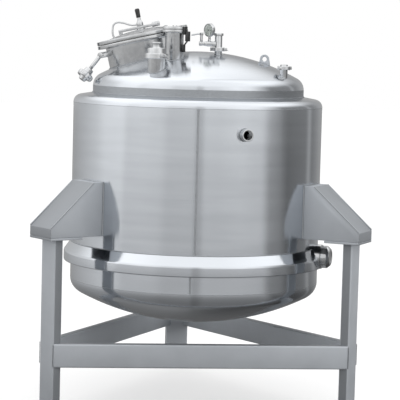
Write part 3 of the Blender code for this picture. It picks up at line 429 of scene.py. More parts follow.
def soften(thing, width=0.0, segments=2, edge_angle=32.0):
    """Round every edge sharper than an angle, and shade the rest smooth."""
    only(thing)
    if width:
        bevel = thing.modifiers.new("Softened edges", "BEVEL")
        bevel.width = width
        bevel.segments = segments
        bevel.limit_method = "ANGLE"
        bevel.angle_limit = radians(edge_angle)
        bevel.harden_normals = False
        bpy.ops.object.modifier_apply(modifier=bevel.name)
    bpy.ops.object.shade_smooth_by_angle(angle=radians(edge_angle))
    return thing


def lathe(name, section, place, sides, edge=0.001, closed=False, sweep=360.0):
    """Turn a section of (radius, height) points round Z."""
    corners = [(radius, 0, height) for radius, height in section]
    thing = draw(name, corners + corners[:1] if closed else corners)
    bpy.ops.mesh.spin(steps=sides, angle=radians(sweep), center=(0, 0, 0), axis=(0, 0, 1))
    bpy.ops.mesh.select_all(action="SELECT")
    bpy.ops.mesh.remove_doubles(threshold=1e-6)
    if sweep < 360:
        bpy.ops.mesh.select_all(action="DESELECT")
        bpy.ops.mesh.select_non_manifold()
        bpy.ops.mesh.edge_face_add()
    face_outwards()
    return soften(put(thing, place), edge)


def slab(name, outline, low, high, place=Matrix(), edge=0.001):
    """A plate: an outline in X and Y, from height low to high."""
    thing = draw(name, [(x, y, low) for x, y in outline])
    bpy.ops.mesh.edge_face_add()
    bpy.ops.mesh.extrude_region_move(TRANSFORM_OT_translate={"value": (0, 0, high - low)})
    face_outwards()
    return soften(put(thing, place), edge)


def bar(name, start, end, radius, place=Matrix(), sides=32, edge=0.001):
    """A round or many-sided bar between two points, with chamfered ends."""
    start, end = Vector(start), Vector(end)
    along = end - start
    thing = fresh(name, bpy.ops.mesh.primitive_cylinder_add, vertices=sides, radius=radius,
                  depth=along.length, location=(start + end) / 2,
                  rotation=along.to_track_quat("Z", "Y").to_euler())
    return soften(put(thing, place), edge)


def cuboid(name, low, high):
    """A sharp-edged box between two corners."""
    low, high = Vector(low), Vector(high)
    return fresh(name, bpy.ops.mesh.primitive_cube_add, size=1.0, location=(low + high) / 2,
                 scale=high - low)


def box(name, low, high, place=Matrix(), edge=0.0015):
    """A rectangular piece between two corners, with softened edges."""
    return soften(put(cuboid(name, low, high), place), edge)


def circle(radius, start=0.0, end=360.0, steps=32, centre=(0, 0)):
    """Points on an arc, for outlines."""
    turns = [radians(start + (end - start) * i / steps) for i in range(steps + 1)]
    points = [(centre[0] + radius * cos(t), centre[1] + radius * sin(t)) for t in turns]
    return points[:-1] if end - start >= 360 else points


def rounded(points, radii, steps=8):
    """A section whose inner corners are rounded, each with its own radius."""
    line = [points[0]]
    for before, corner, after, radius in zip(points, points[1:], points[2:], radii):
        corner = Vector(corner)
        back, ahead = (Vector(before) - corner).normalized(), (Vector(after) - corner).normalized()
        half = back.angle(ahead) / 2
        centre = corner + (back + ahead).normalized() * radius / sin(half)
        first = corner + back * radius / tan(half) - centre
        last = corner + ahead * radius / tan(half) - centre
        line += [tuple(centre + first.lerp(last, i / steps).normalized() * radius)
                 for i in range(steps + 1)]
    return line + [points[-1]]


# %% [markdown]
# Pieces that are welded into one are joined into one object. A hole is cut with a Boolean modifier, and the
# tool that cuts it is removed. A repeated piece is modelled once, and each copy gets a mesh of its own.
# A last function hands a piece its finish, attaches it to the body it moves with, and hides the CAD nodes
# that it stands for.

# %% Join, cut, copy and hand over


def join(first, *others):
    """Weld pieces into one object, named as the first."""
    only(first)
    for other in others:
        other.select_set(True)
    bpy.ops.object.join()
    return first


def cut(thing, *tools):
    """Cut tools out of a piece."""
    for tool in tools:
        only(thing)
        hole = thing.modifiers.new("Hole", "BOOLEAN")
        hole.operation = "DIFFERENCE"
        hole.solver = "EXACT"
        hole.object = tool
        bpy.ops.object.modifier_apply(modifier=hole.name)
        bpy.data.objects.remove(tool)
    return thing


def copy_of(thing, name, place):
    """A copy with its own mesh, moved by a matrix."""
    only(thing)
    bpy.ops.object.duplicate(linked=False)
    twin = bpy.context.object
    twin.name = twin.data.name = name
    return put(twin, place)


def repeated(thing, name, places):
    """Copies of a piece at several places. The piece itself is removed."""
    copies = [copy_of(thing, name, place) for place in places]
    bpy.data.objects.remove(thing)
    return copies


def hand_over(thing, *nodes, finish=FITTING_STEEL, body="tank"):
    """Give a piece its finish and the body it moves with, and hide the CAD nodes it stands for."""
    thing.data.materials.clear()
    thing.data.materials.append(finish)
    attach(thing, body)
    if nodes:
        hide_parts(*nodes)
    return thing


# %% [markdown]
# ## Vessel and jacket
# A pressed tank head is a shallow ball crown that turns into the side through a tight knuckle. Its section
# is two arcs that meet without a corner, so it is drawn from many short steps and the spin has 192 sides:
# fewer would show as flat facets in the polished steel. The wall has its real thickness.

# %% Heads, shells and shoulder
ROUND = 192


def head_line(radius, crown, knuckle, tangent, inset=0.0, flip=1):
    """Section of a dished head from its pole to its rim, inset by a wall. Flip -1 turns it upside down."""
    meet = asin((radius - knuckle) / (crown - knuckle))
    drop = sqrt((crown - knuckle) ** 2 - (radius - knuckle) ** 2)
    points = []
    for step in range(24):
        angle = meet * step / 24
        points.append(((crown - inset) * sin(angle), (crown - inset) * cos(angle) - drop))
    for step in range(13):
        angle = meet + (pi / 2 - meet) * step / 12
        points.append((radius - knuckle + (knuckle - inset) * sin(angle), (knuckle - inset) * cos(angle)))
    return [(r, tangent + flip * z) for r, z in points]


TOP_SEAM = 1.606
VESSEL_WALL = 0.006
outside = head_line(**VESSEL, tangent=VESSEL_TOP_TANGENT)
inside = head_line(**VESSEL, tangent=VESSEL_TOP_TANGENT, inset=VESSEL_WALL)
skirt = [(VESSEL["radius"], TOP_SEAM), (VESSEL["radius"] - VESSEL_WALL, TOP_SEAM)]
head = lathe("top_head", outside + skirt + inside[::-1], about_axis(), ROUND, edge=0)
cut(head, bar("manway_hole", (0, 0, -0.1), (0, 0, 0.05), 0.2003, MANWAY, sides=96, edge=0),
    bar("sight_hole", (0, 0, -0.1), (0, 0, 0.05), 0.0473, SIGHT, sides=48, edge=0))
soften(head)
hand_over(head, "vessel_top_head", finish=SHELL_STEEL)

JACKET_WALL = 0.005
JACKET_TOP = 1.545
JACKET_LOW = 0.630
outer, inner = JACKET["radius"], JACKET["radius"] - JACKET_WALL
# two rings of points above and below the socket keep its hole's uneven faces out of the rest of the wall
section = [(outer, JACKET_TOP), (outer, SOCKET_HEIGHT + 0.048), (outer, SOCKET_HEIGHT - 0.048),
           (outer, JACKET_LOW + GAP), (inner, JACKET_LOW + GAP), (inner, JACKET_TOP)]
wall = lathe("jacket_wall", section, about_axis(), ROUND, edge=0, closed=True)
cut(wall, bar("socket_hole", (0, 0, -0.05), (0, 0, 0.05), 0.0303, SOCKET, sides=48, edge=0))
soften(wall)
hand_over(wall, "jacket_shell", finish=SHELL_STEEL)

outside = head_line(**JACKET, tangent=JACKET_LOW, flip=-1)
inside = head_line(**JACKET, tangent=JACKET_LOW, inset=JACKET_WALL, flip=-1)
dish = lathe("jacket_dish", outside + inside[::-1], about_axis(), ROUND, edge=0)
hand_over(dish, "jacket_bottom_head", finish=SHELL_STEEL)
print("top head", len(head.data.polygons), "faces, jacket wall", len(wall.data.polygons))

# %% [markdown]
# The shoulder closes the jacket against the vessel: it leaves the jacket upright, turns over a 40 mm
# corner and slopes up to the vessel's side, where a fillet weld runs round. It is the CAD's section with a
# finer corner.

# %% Shoulder
CORNER = 0.040
SHOULDER_TOP = 1.596


def shoulder_line(inset):
    """Section of the shoulder from its foot to its top edge."""
    across = JACKET["radius"] - CORNER - VESSEL["radius"] - GAP
    rise = SHOULDER_TOP - JACKET_TOP
    lean = atan2(across, rise) + asin(CORNER / hypot(across, rise))
    points = []
    for step in range(13):
        angle = lean * step / 12
        points.append((JACKET["radius"] - CORNER + (CORNER - inset) * cos(angle), JACKET_TOP + GAP +
                       (CORNER - inset) * sin(angle)))
    radius, height = points[-1]
    top = VESSEL["radius"] + GAP
    points.append((top, height + (radius - top) / (sin(lean) / cos(lean))))
    return points


slope = lathe("jacket_shoulder_slope", shoulder_line(0.0)[::-1] + shoulder_line(JACKET_WALL), about_axis(),
              ROUND, edge=0, closed=True)
hand_over(slope, "jacket_shoulder", finish=SHELL_STEEL)

# %% [markdown]
# A belt channel runs round the jacket: a sheet ring with a sloping roof, a rounded upper edge, an upright
# face and a short floor, welded to the jacket along both feet. A collar passes through it at the right.

# %% Belt channel
BELT_TOP = 0.822
BELT_FLOOR = 0.720
BELT_OUT = 0.686
BELT_WALL = 0.003
ROOF = (0.7718 - BELT_TOP) / (BELT_OUT - 0.6503)
COLLAR = on_jacket(337.5, 0.782)


def belt_line(inset, upper, lower):
    """Section of the belt, inset by a wall, with its two outer corners rounded."""
    foot, out = JACKET["radius"] + GAP, BELT_OUT - inset
    start = BELT_TOP - inset * hypot(1, ROOF)
    corners = [(foot, start), (out, start + ROOF * (out - foot)), (out, BELT_FLOOR + inset),
               (foot, BELT_FLOOR + inset)]
    return rounded(corners, (upper, lower))


section = belt_line(0.0, 0.024, 0.006) + belt_line(BELT_WALL, 0.021, 0.003)[::-1]
ring = lathe("belt_channel", section, about_axis(), ROUND, edge=0, closed=True)
cut(ring, bar("collar_hole", (0, 0, -0.12), (0, 0, 0.12), 0.0628, COLLAR, sides=64, edge=0))
soften(ring)
hand_over(ring, "jacket_ring", finish=SHELL_STEEL)
# these two are hardly seen, so the CAD's own meshes stay and only take the finish
for name in ("vessel_shell", "vessel_bottom_head"):
    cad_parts[name].data.materials.clear()
    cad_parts[name].data.materials.append(SHELL_STEEL)

# %% [markdown]
# ## Weld beads
# A weld bead is a round rod of metal with a row of scales on it. It is drawn as a curve along the joint,
# whose thickness goes up and down from point to point, and then made a mesh. Real scales are about 1.5 mm
# apart. Here they are 5 mm apart, so that they show. Seams that were ground flush stay as a faint flat line.

# %% Weld beads


def round_curve(name, radius, roundness, kind):
    """A curve with a round section and its first spline, still without a path."""
    curve = bpy.data.curves.new(name, "CURVE")
    curve.dimensions = "3D"
    curve.bevel_depth = radius
    curve.bevel_resolution = roundness
    curve.use_fill_caps = True
    return curve, curve.splines.new(kind)


def meshed(curve, place):
    """A curve as a mesh object in its frame."""
    thing = bpy.data.objects.new(curve.name, curve)
    bpy.context.scene.collection.objects.link(thing)
    only(thing)
    bpy.ops.object.convert(target="MESH")
    return put(thing, place)


def bead(name, path, width, place=Matrix(), closed=False):
    """A scaly weld bead along a path of points."""
    curve, spline = round_curve(name, width, 1, "POLY")
    spline.points.add(len(path) - 1)
    spline.use_cyclic_u = closed
    for index, (point, place_of) in enumerate(zip(path, spline.points)):
        place_of.co = (*point, 1.0)
        place_of.radius = 1.0 if index % 2 else 0.82
    thing = meshed(curve, place)
    bpy.ops.object.mode_set(mode="EDIT")
    face_outwards()
    return hand_over(soften(thing, edge_angle=60.0), finish=WELD_STEEL)


def girth(radius, height, start=0.0, end=360.0, pitch=0.005):
    """Points round the axis at one height."""
    steps = max(2, 2 * round(radians(end - start) * radius / pitch / 2))
    return [(x, y, height) for x, y in circle(radius, start, end, steps)]


def straight(start, end, pitch=0.005):
    """Points on a straight line."""
    start, end = Vector(start), Vector(end)
    steps = max(2, round((end - start).length / pitch))
    return [start.lerp(end, i / steps) for i in range(steps + 1)]


def on_ball(tube, place, pitch=0.004):
    """Points where a tube along Z of a frame meets the head's crown, in the tank's coordinates."""
    centre = Vector((0, AXIS_Y, ball_centre()))
    steps = 2 * round(2 * pi * tube / pitch / 2)
    up = place.to_3x3() @ Vector((0, 0, 1))
    points = []
    for x, y in circle(tube, steps=steps):
        foot = place @ Vector((x, y, 0))
        ray = foot - centre
        lift = -ray.dot(up) + sqrt(ray.dot(up) ** 2 - ray.length_squared + VESSEL["crown"] ** 2)
        points.append(foot + up * lift)
    return points


bead("shoulder_weld", girth(0.5515, SHOULDER_TOP + 0.001), 0.0035, about_axis(), closed=True)
# the belt's two welds leave out the collar, which passes through it at 337.5 degrees
bead("belt_weld_upper", girth(0.6505, BELT_TOP + 0.0005, 343, 692), 0.0028, about_axis())
bead("belt_weld_lower", girth(0.6505, BELT_FLOOR - 0.0005, 339, 696), 0.0028, about_axis())
for name, radius, height in (("seam_top", 0.6492, 1.5452), ("seam_low", 0.6492, JACKET_LOW)):
    bead(name, girth(radius, height), 0.0014, about_axis(), closed=True)
for name, azimuth, low, high in (("seam_front", 265.3, 0.826, 1.543), ("seam_low_front", 263.6, 0.633, 0.716),
                                 ("seam_back", 82.0, 0.826, 1.543)):
    section = [(0.6504, low), (0.6504, high), (0.6490, high), (0.6490, low)]
    seam = lathe(name, section, about_axis(azimuth - 0.5), 4, edge=0, closed=True, sweep=1.0)
    hand_over(seam, finish=WELD_STEEL)
# painted shade: a band of duller weld steel over the head's skirt, round its seam, darkens the skirt below
# the knuckle
band = lathe("skirt_painted_shade_band", [(0.5505, 1.6345), (0.5505, 1.5985), (0.5492, 1.5985), (0.5492, 1.6345)],
             about_axis(), ROUND, edge=0, closed=True)
hand_over(band, finish=WELD_STEEL)
bead("manway_weld", on_ball(0.2015, MANWAY), 0.0045, closed=True)
bead("sight_weld", on_ball(0.0480, SIGHT), 0.0032, closed=True)
bead("capped_weld", on_ball(0.0455, CAPPED), 0.0032, closed=True)
bead("riser_weld", on_ball(0.0196, RISER), 0.0025, closed=True)
print("welds on the tank done")

# %% [markdown]
# ## Manway
# The neck is a rolled tube with a thick flange. The lid lies on a silicone gasket, hinged behind the sight
# glass and held by a swing bolt at the outer side, in a notch that is open to the edge. The bolt is shown
# released: it has dropped outwards and its hand knob hangs over the vessel's edge. The lid, its bar and its
# handles turn together.

# %% Manway neck and gasket
FLANGE = 0.240
FLANGE_TOP = 0.100
HINGE = (-0.265, 0.088)
upright = turned(90, "X")

section = [(FLANGE, FLANGE_TOP), (FLANGE, 0.084), (0.204, 0.084), (0.201, 0.081), (0.200, 0.076),
           (0.200, -0.0304), (0.195, -0.0304), (0.195, FLANGE_TOP)]
neck = lathe("manway_neck_turned", section, MANWAY, 128, edge=0.0015, closed=True)


def bolt_notch():
    """The notch for the swing bolt, through the flange and the lid's rim."""
    return box("bolt_notch", (-0.016, -0.016, 0.019), (0.050, 0.016, 0.090), BOLT, edge=0)


cut(neck, bolt_notch())
soften(neck)
extras = []
for side, y in (("near", -0.022), ("far", 0.022)):
    cheek = [(-0.198, 0.058), (-0.198, 0.086), (HINGE[0], HINGE[1] + 0.0139)]
    cheek += circle(0.0139, 90, 270, 12, HINGE)[1:] + [(HINGE[0] + 0.006, 0.058)]
    extras.append(slab("hinge_cheek_" + side, cheek, -y - 0.004, -y + 0.004, HINGED @ upright))
extras.append(bar("hinge_pin", (HINGE[0], -0.030, HINGE[1]), (HINGE[0], 0.030, HINGE[1]), 0.008, HINGED))
for side, y in (("near", -0.018), ("far", 0.018)):
    cheek = [(-0.042, -0.016), (0.006, -0.016)] + circle(0.0130, -60, 90, 10) + [(-0.042, 0.0125)]
    extras.append(slab("bolt_cheek_" + side, cheek, -y - 0.004, -y + 0.004, BOLT @ upright))
extras.append(bar("bolt_pin", (0, -0.024, 0), (0, 0.024, 0), 0.006, BOLT))
for y in (-0.030, 0.024):
    extras.append(bar("pin_nut", (0, y, 0), (0, y + 0.006, 0), 0.0105, BOLT, sides=6))
hand_over(join(neck, *extras), "manway_neck")

section = [(0.222, 0.1033), (0.222, 0.1003), (0.195, 0.1003), (0.195, 0.1033)]
hand_over(lathe("manway_gasket_ring", section, MANWAY, 128, edge=0.0008, closed=True), "manway_gasket",
          finish=SILICONE)
print("manway neck", len(neck.data.polygons), "faces")

# %% Lid
LID_LOW = 0.1036
RIM_TOP = 0.1216
DISH = 0.188
RISE = 0.025
bow = (DISH ** 2 + RISE ** 2) / (2 * RISE)
spread = asin(DISH / bow)
top_line = [(bow * sin(spread * i / 16), RIM_TOP + RISE - bow * (1 - cos(spread * i / 16)))
            for i in range(17)]
lining = [(radius * 0.97, height - 0.005) for radius, height in top_line]
section = top_line + [(0.192, RIM_TOP), (FLANGE, RIM_TOP), (FLANGE, LID_LOW), (lining[-1][0], LID_LOW)]
lid = lathe("lid_dished", section + lining[::-1], MANWAY, 128, edge=0.0015)
cut(lid, bolt_notch())
soften(lid)
boss = bar("lid_boss", (0, 0, 0.1436), (0, 0, 0.1497), 0.022, MANWAY, sides=48)
strap = [(-0.228, LID_LOW + 0.0002), (HINGE[0] + 0.0105, LID_LOW + 0.0002), (HINGE[0] + 0.0148, HINGE[1])]
strap += circle(0.0148, 0, -180, 16, HINGE)[1:] + [(HINGE[0] - 0.0112, 0.116), (HINGE[0] - 0.006, 0.1214)]
strap += [(-0.228, 0.1214)]
eye = slab("hinge_strap", strap, -0.0145, 0.0145, HINGED @ upright)
cut(eye, bar("strap_bore", (HINGE[0], -0.04, HINGE[1]), (HINGE[0], 0.04, HINGE[1]), 0.0085, HINGED, edge=0))
hand_over(join(lid, boss, eye), "manway_lid", body="lid")

bridge = box("lid_bar_flat", (-0.090, -0.015, 0.150), (0.117, 0.015, 0.164), MANWAY, edge=0.003)
foot = box("bar_foot", (0.099, -0.012, 0.140), (0.1168, 0.012, 0.155), MANWAY, edge=0.002)
ribbed = [(0.0, 0.040)]
for i in range(5):
    ribbed += [(0.0130, 0.040 - i * 0.008), (0.0130, 0.0352 - i * 0.008), (0.0112, 0.0342 - i * 0.008),
               (0.0112, 0.0330 - i * 0.008)]
ribbed += [(0.0112, 0.0), (0.0, 0.0)]
along = MANWAY @ moved(-0.102, 0, 0.158) @ turned(90, "Y")
hand_over(join(bridge, foot, lathe("bar_nut", ribbed, along, 32, edge=0.0004)), "lid_bar", body="lid")

section = [(0.0, 0.208), (0.009, 0.208), (0.0095, 0.199), (0.011, 0.191), (0.0145, 0.186), (0.017, 0.180),
           (0.017, 0.1643), (0.0, 0.1643)]
hand_over(lathe("lid_post", section, MANWAY, 48), "lid_stem", body="lid")
section = [(0.0, 0.256), (0.006, 0.2556), (0.010, 0.2540), (0.0122, 0.2500), (0.0125, 0.2440),
           (0.0118, 0.232), (0.0114, 0.220), (0.0119, 0.2105), (0.0108, 0.2083), (0.0, 0.2083)]
hand_over(lathe("lid_grip_moulded", section, MANWAY, 48, edge=0.0006), "lid_grip", finish=BLACK_PLASTIC,
          body="lid")

# %% [markdown]
# The thin lid handle is a bent wire, so it is a curve with a round section along a few points, smoothed and
# then made a mesh.

# %% Lid handle and swing bolt


def bent_wire(name, points, radius, place):
    """A smooth round wire through points."""
    curve, spline = round_curve(name, radius, 4, "BEZIER")
    curve.resolution_u = 8
    spline.bezier_points.add(len(points) - 1)
    for knot, point in zip(spline.bezier_points, points):
        knot.co = point
        knot.handle_left_type = knot.handle_right_type = "AUTO"
    return soften(meshed(curve, place), edge_angle=40.0)


hoop = [(0.148, 0, 0.1322), (0.150, 0, 0.150), (0.145, 0, 0.178), (0.134, 0, 0.199), (0.118, 0, 0.205),
        (0.090, 0, 0.199), (0.040, 0, 0.176), (0.0178, 0, 0.174)]
hand_over(bent_wire("lid_pull", hoop, 0.005, MANWAY), "lid_handle", body="lid")

drooped = BOLT @ turned(40.0, "Y")
eye = slab("bolt_eye_rod", circle(0.0145, steps=32), -0.0125, 0.0125, drooped @ upright)
cut(eye, bar("bolt_bore", (0, -0.03, 0), (0, 0.03, 0), 0.0065, drooped, edge=0))
shaft = [(0.0, 0.166), (0.0085, 0.166)]
for i in range(30):
    shaft += [(0.0100, 0.165 - i * 0.003), (0.0088, 0.1635 - i * 0.003)]
shaft += [(0.0100, 0.074), (0.0100, 0.012), (0.0, 0.012)]
sideways = drooped @ turned(90, "Y")
hand_over(join(eye, lathe("bolt_shaft", shaft, sideways, 32, edge=0)), "swing_bolt", body="bolt")

KNOB = 0.043
section = [(KNOB, 0.007), (KNOB, -0.007), (KNOB - 0.003, -0.0125), (KNOB - 0.008, -0.014), (0.028, -0.013),
           (0.025, -0.017), (0.021, -0.040), (0.0103, -0.040), (0.0103, 0.030), (0.018, 0.030),
           (0.022, 0.016), (0.025, 0.011), (KNOB - 0.012, 0.010), (KNOB - 0.007, 0.014),
           (KNOB - 0.003, 0.0125)]
knob = lathe("hand_knob", section, Matrix(), 96, edge=0.001, closed=True)
for x, y in circle(1.13 * KNOB, steps=8):
    cut(knob, bar("scallop", (x, y, -0.03), (x, y, 0.03), 0.0095, edge=0))
put(soften(knob), sideways @ moved(0, 0, 0.134))
hand_over(knob, "swing_knob", body="bolt")
print("manway group done")

# %% [markdown]
# ## Clamped fittings
# Sanitary nozzles end in a thin flange. A cap with the same flange lies on it, and a clamp of two half
# rings squeezes both together: hinged at one side, with a small bolt and a wing nut at the other. The
# clamp's groove hides the flanges, so the fitting reads as a plain band with two ears. The clamp is one
# function, because three fittings use it at two sizes.

# %% Ferrules, caps and clamps


def wing_nut(name, place, size):
    """A hub with two flat ears."""
    hub = lathe(name, [(0, 0.9), (0.42, 0.9), (0.62, 0.2), (0.62, 0), (0, 0)], Matrix.Scale(size, 4), 24,
                edge=0)
    ears = []
    for side in (-1, 1):
        ear = [(side * 0.3, 0.1), (side * 0.75, 0.35), (side * 1.45, 1.0), (side * 1.5, 1.35),
               (side * 1.25, 1.5), (side * 0.95, 1.35), (side * 0.3, 0.85)]
        ears.append(slab("ear", [(x * size, y * size) for x, y in ear], -0.16 * size, 0.16 * size, upright,
                         edge=0.05 * size))
    return put(join(hub, *ears), place)


def clamp(name, place, turn, flange, radius, width, node):
    """Two half rings with a hinge on one side and a bolt with a wing nut on the other."""
    lip, half, grip = 0.006 + GAP, width / 2, flange - 0.004
    room = flange + GAP
    section = [(radius - 0.003, half), (radius, half - 0.003), (radius, 0.003 - half),
               (radius - 0.003, -half), (grip, -half), (grip, -lip), (room, -lip), (room, lip), (grip, lip),
               (grip, half)]
    first = lathe(name, section, turned(7), 40, edge=0, closed=True, sweep=166)
    second = copy_of(first, "half", turned(180))
    pieces = [second]
    for way in (-1, 1):
        ear = [(radius - 0.004, 0.0045), (radius + 0.006, 0.0045), (radius + 0.010, 0.0065),
               (radius + 0.010, 0.0125), (radius - 0.006, 0.0125)]
        ear = [(x, way * y) for x, y in ear]
        pieces.append(slab("bolt_ear", ear, 0.002 - half, half - 0.002))
        hinge = [(-radius + 0.004, way * 0.003), (-radius - 0.006, way * 0.003),
                 (-radius - 0.008, way * 0.008), (-radius + 0.004, way * 0.014)]
        pieces.append(slab("hinge_ear", hinge, 0.002 - half, half - 0.002))
    pieces.append(bar("hinge_rivet", (-radius - 0.004, 0, 0.001 - half), (-radius - 0.004, 0, half - 0.001),
                      0.0038, sides=16))
    stud = radius + 0.0035
    pieces.append(bar("clamp_bolt", (stud, -0.017, 0), (stud, 0.030, 0), 0.0032, sides=16))
    nut = moved(stud, 0.0128, 0) @ turned(-90, "X") @ Matrix.Rotation(0.5, 4, "Z")
    pieces.append(wing_nut("wing", nut, 0.0085))
    ring = put(join(first, *pieces), place @ turned(turn))
    return hand_over(ring, node)


def ferrule(name, place, tube, wall, flange, low, high, node):
    """A tube end with a thin flange."""
    section = [(flange, high), (flange, high - 0.004), (flange - 0.004, high - 0.006), (tube, high - 0.006),
               (tube, low), (tube - wall, low), (tube - wall, high)]
    return hand_over(lathe(name, section, place, 64, edge=0.0005, closed=True), node)


def cap_section(flange, high, top):
    """A flat cap with a flange."""
    dome = flange - 0.006
    return [(0, top), (dome - 0.004, top), (dome - 0.001, top - 0.0012), (dome, top - 0.004),
            (dome, high + 0.006), (flange, high + 0.006), (flange, high + GAP), (0, high + GAP)]


ferrule("capped_ferrule", CAPPED, 0.0445, 0.003, 0.053, -0.040, 0.066, "capped_nozzle")
clamp("capped_clamp", CAPPED @ moved(0, 0, 0.066), 62, 0.053, 0.059, 0.026, "capped_nozzle_clamp")
lid_cap = lathe("capped_top", cap_section(0.053, 0.066, 0.106), CAPPED, 64)
spigot = [(0, 0.130), (0.0200, 0.130), (0.0200, 0.1362), (0.0240, 0.1362), (0.0262, 0.1340),
          (0.0262, 0.1290), (0.0220, 0.1262), (0.0220, 0.1100), (0.0260, 0.1060), (0.0260, 0.1000),
          (0, 0.1000)]
join(lid_cap, lathe("spigot", spigot, CAPPED, 48))
hand_over(lid_cap, "capped_nozzle_cap")

SMALL = {"tube": 0.0190, "wall": 0.002, "flange": 0.0253}
ferrule("side_ferrule", SIDE, **SMALL, low=-0.040, high=0.042, node="side_nozzle")
clamp("side_clamp", SIDE @ moved(0, 0, 0.042), 70, 0.0253, 0.034, 0.020, "side_nozzle_clamp")
hand_over(lathe("side_top", cap_section(0.0253, 0.042, 0.060), SIDE, 48), "side_nozzle_cap")
ferrule("riser_ferrule", RISER, **SMALL, low=-0.030, high=0.029, node="riser_nozzle")
clamp("riser_clamp", RISER @ moved(0, 0, 0.029), 172, 0.0253, 0.034, 0.020, "riser_nozzle_clamp")
print("clamped fittings done")

# %% [markdown]
# ## Sight glass
# A pane of thick glass lies on the flange of a short neck, under a cover ring that is held by six cap
# screws. Small black blocks, shaped as the hinge of a lamp, stand at the right of the flange: their black is
# painted shade, for the shade that falls on the manway's hinge there.

# %% Sight glass
section = [(0.0615, 0.142), (0.0615, 0.130), (0.0505, 0.130), (0.0477, 0.1275), (0.0470, 0.124),
           (0.0470, -0.035), (0.0440, -0.035), (0.0440, 0.142)]
hand_over(lathe("sight_neck_turned", section, SIGHT, 96, closed=True), "sight_neck")
section = [(0, 0.1483), (0.0495, 0.1483), (0.050, 0.1478), (0.050, 0.1428), (0.0495, 0.1423), (0, 0.1423)]
hand_over(lathe("sight_disc", section, SIGHT, 96, edge=0), "sight_pane", finish=GLASS)
section = [(0.0615, 0.160), (0.0615, 0.1423), (0.0503, 0.1423), (0.0503, 0.1486), (0.040, 0.1486),
           (0.040, 0.153), (0.044, 0.160)]
cover = lathe("sight_ring", section, SIGHT, 96, closed=True)
screw = lathe("cap_screw", [(0, 0.0025), (0.0022, 0.0025), (0.0025, 0.0055), (0.0040, 0.0055),
                            (0.0045, 0.0048), (0.0045, 0), (0, 0)], Matrix(), 20, edge=0)
screws = repeated(screw, "screw", [SIGHT @ turned(60 * i + 20) @ moved(0.0535, 0, 0.160) for i in range(6)])
hand_over(join(cover, *screws), "sight_cover")

lamp_side = SIGHT @ turned(83.6)
# painted shade: black blocks where the manway's hinge lies in shade
block = box("lamp_hinge_painted_shade", (0.056, -0.012, 0.119), (0.072, 0.012, 0.160), lamp_side)
arm = box("lamp_arm", (0.070, -0.008, 0.086), (0.092, 0.008, 0.136), lamp_side)
link = bar("lamp_link", (0.081, 0, 0.090), (0.058, 0, 0.062), 0.004, lamp_side, sides=16)
clip = box("lamp_clip", (0.0465, -0.008, 0.031), (0.064, 0.008, 0.070), lamp_side)
hand_over(join(block, arm, link, clip), finish=BLACK_PLASTIC)

# %% [markdown]
# ## Riser, gauge and vent cock
# The riser is a clamped tee with a flat cap. Its side branch carries a round gauge on a short stem and ends
# in a small cock, whose lever turns on top. The gauge has a domed case, a plain white dial with ticks and
# numbers, and a needle under a glass.

# %% Riser and gauge
section = [(0, 0.098), (0.019, 0.098), (0.019, 0.035), (0.0253, 0.035), (0.0253, 0.0293), (0, 0.0293)]
tee = lathe("riser_tee_turned", section, RISER, 64)
branch = bar("branch", (0, 0, 0.056), (0.0605, 0, 0.056), 0.014, RISER)
boss = bar("boss", (0.047, 0, 0.056), (0.047, 0, 0.079), 0.009, RISER, sides=6)
hand_over(join(tee, branch, boss), "riser_tee")
section = [(0, 0.112), (0.0215, 0.112), (0.024, 0.1105), (0.0245, 0.108), (0.0245, 0.0983), (0, 0.0983)]
hand_over(lathe("riser_lid", section, RISER, 64), "riser_cap")

FACE = RISER @ moved(0.047, 0, 0.126) @ turned(41.0) @ turned(90, "Y") @ turned(90)
section = [(0, 0.0045), (0.0295, 0.0045), (0.0300, 0.0105), (0.0335, 0.0110), (0.0340, 0.0090),
           (0.0340, -0.0070), (0.0310, -0.0108), (0, -0.0108)]
case = lathe("gauge_case_pressed", section, FACE, 64, edge=0.0005)
stem = bar("gauge_stem", (0.047, 0, 0.0793), (0.047, 0, 0.100), 0.0065, RISER)
hand_over(join(case, stem), "gauge_case")
dial = lathe("gauge_dial", [(0, 0.0062), (0.0292, 0.0062), (0.0292, 0.0046), (0, 0.0046)], FACE, 64, edge=0)
hand_over(dial, finish=ENAMEL)
marks = []
for i in range(25):
    turn = turned(225 - 270 * i / 24)
    long = 0.0045 if i % 4 == 0 else 0.0025
    marks.append(box("tick", (0.0275 - long, -0.0003, 0.0062), (0.0275, 0.0003, 0.0066), FACE @ turn,
                     edge=0))
for i, (x, y) in enumerate(circle(0.0185, 225, -45, 6)):
    number = fresh("number", bpy.ops.object.text_add)
    number.data.body = str(i)
    number.data.size = 0.0065
    number.data.align_x = number.data.align_y = "CENTER"
    number.data.extrude = 0.0001
    bpy.ops.object.convert(target="MESH")
    marks.append(put(number, FACE @ moved(x, y, 0.0064)))
needle = slab("needle", [(-0.007, -0.0012), (0.022, -0.0003), (0.022, 0.0003), (-0.007, 0.0012)], 0.0068,
              0.0074, FACE @ turned(205), edge=0)
hub = bar("needle_hub", (0, 0, 0.0066), (0, 0, 0.0082), 0.0026, FACE, sides=20, edge=0)
hand_over(join(*marks, needle, hub), finish=BLACK_PLASTIC).name = "gauge_marks"
pane = lathe("gauge_glass", [(0, 0.0102), (0.0298, 0.0102), (0.0298, 0.0090), (0, 0.0090)], FACE, 64,
             edge=0)
hand_over(pane, finish=GLASS)

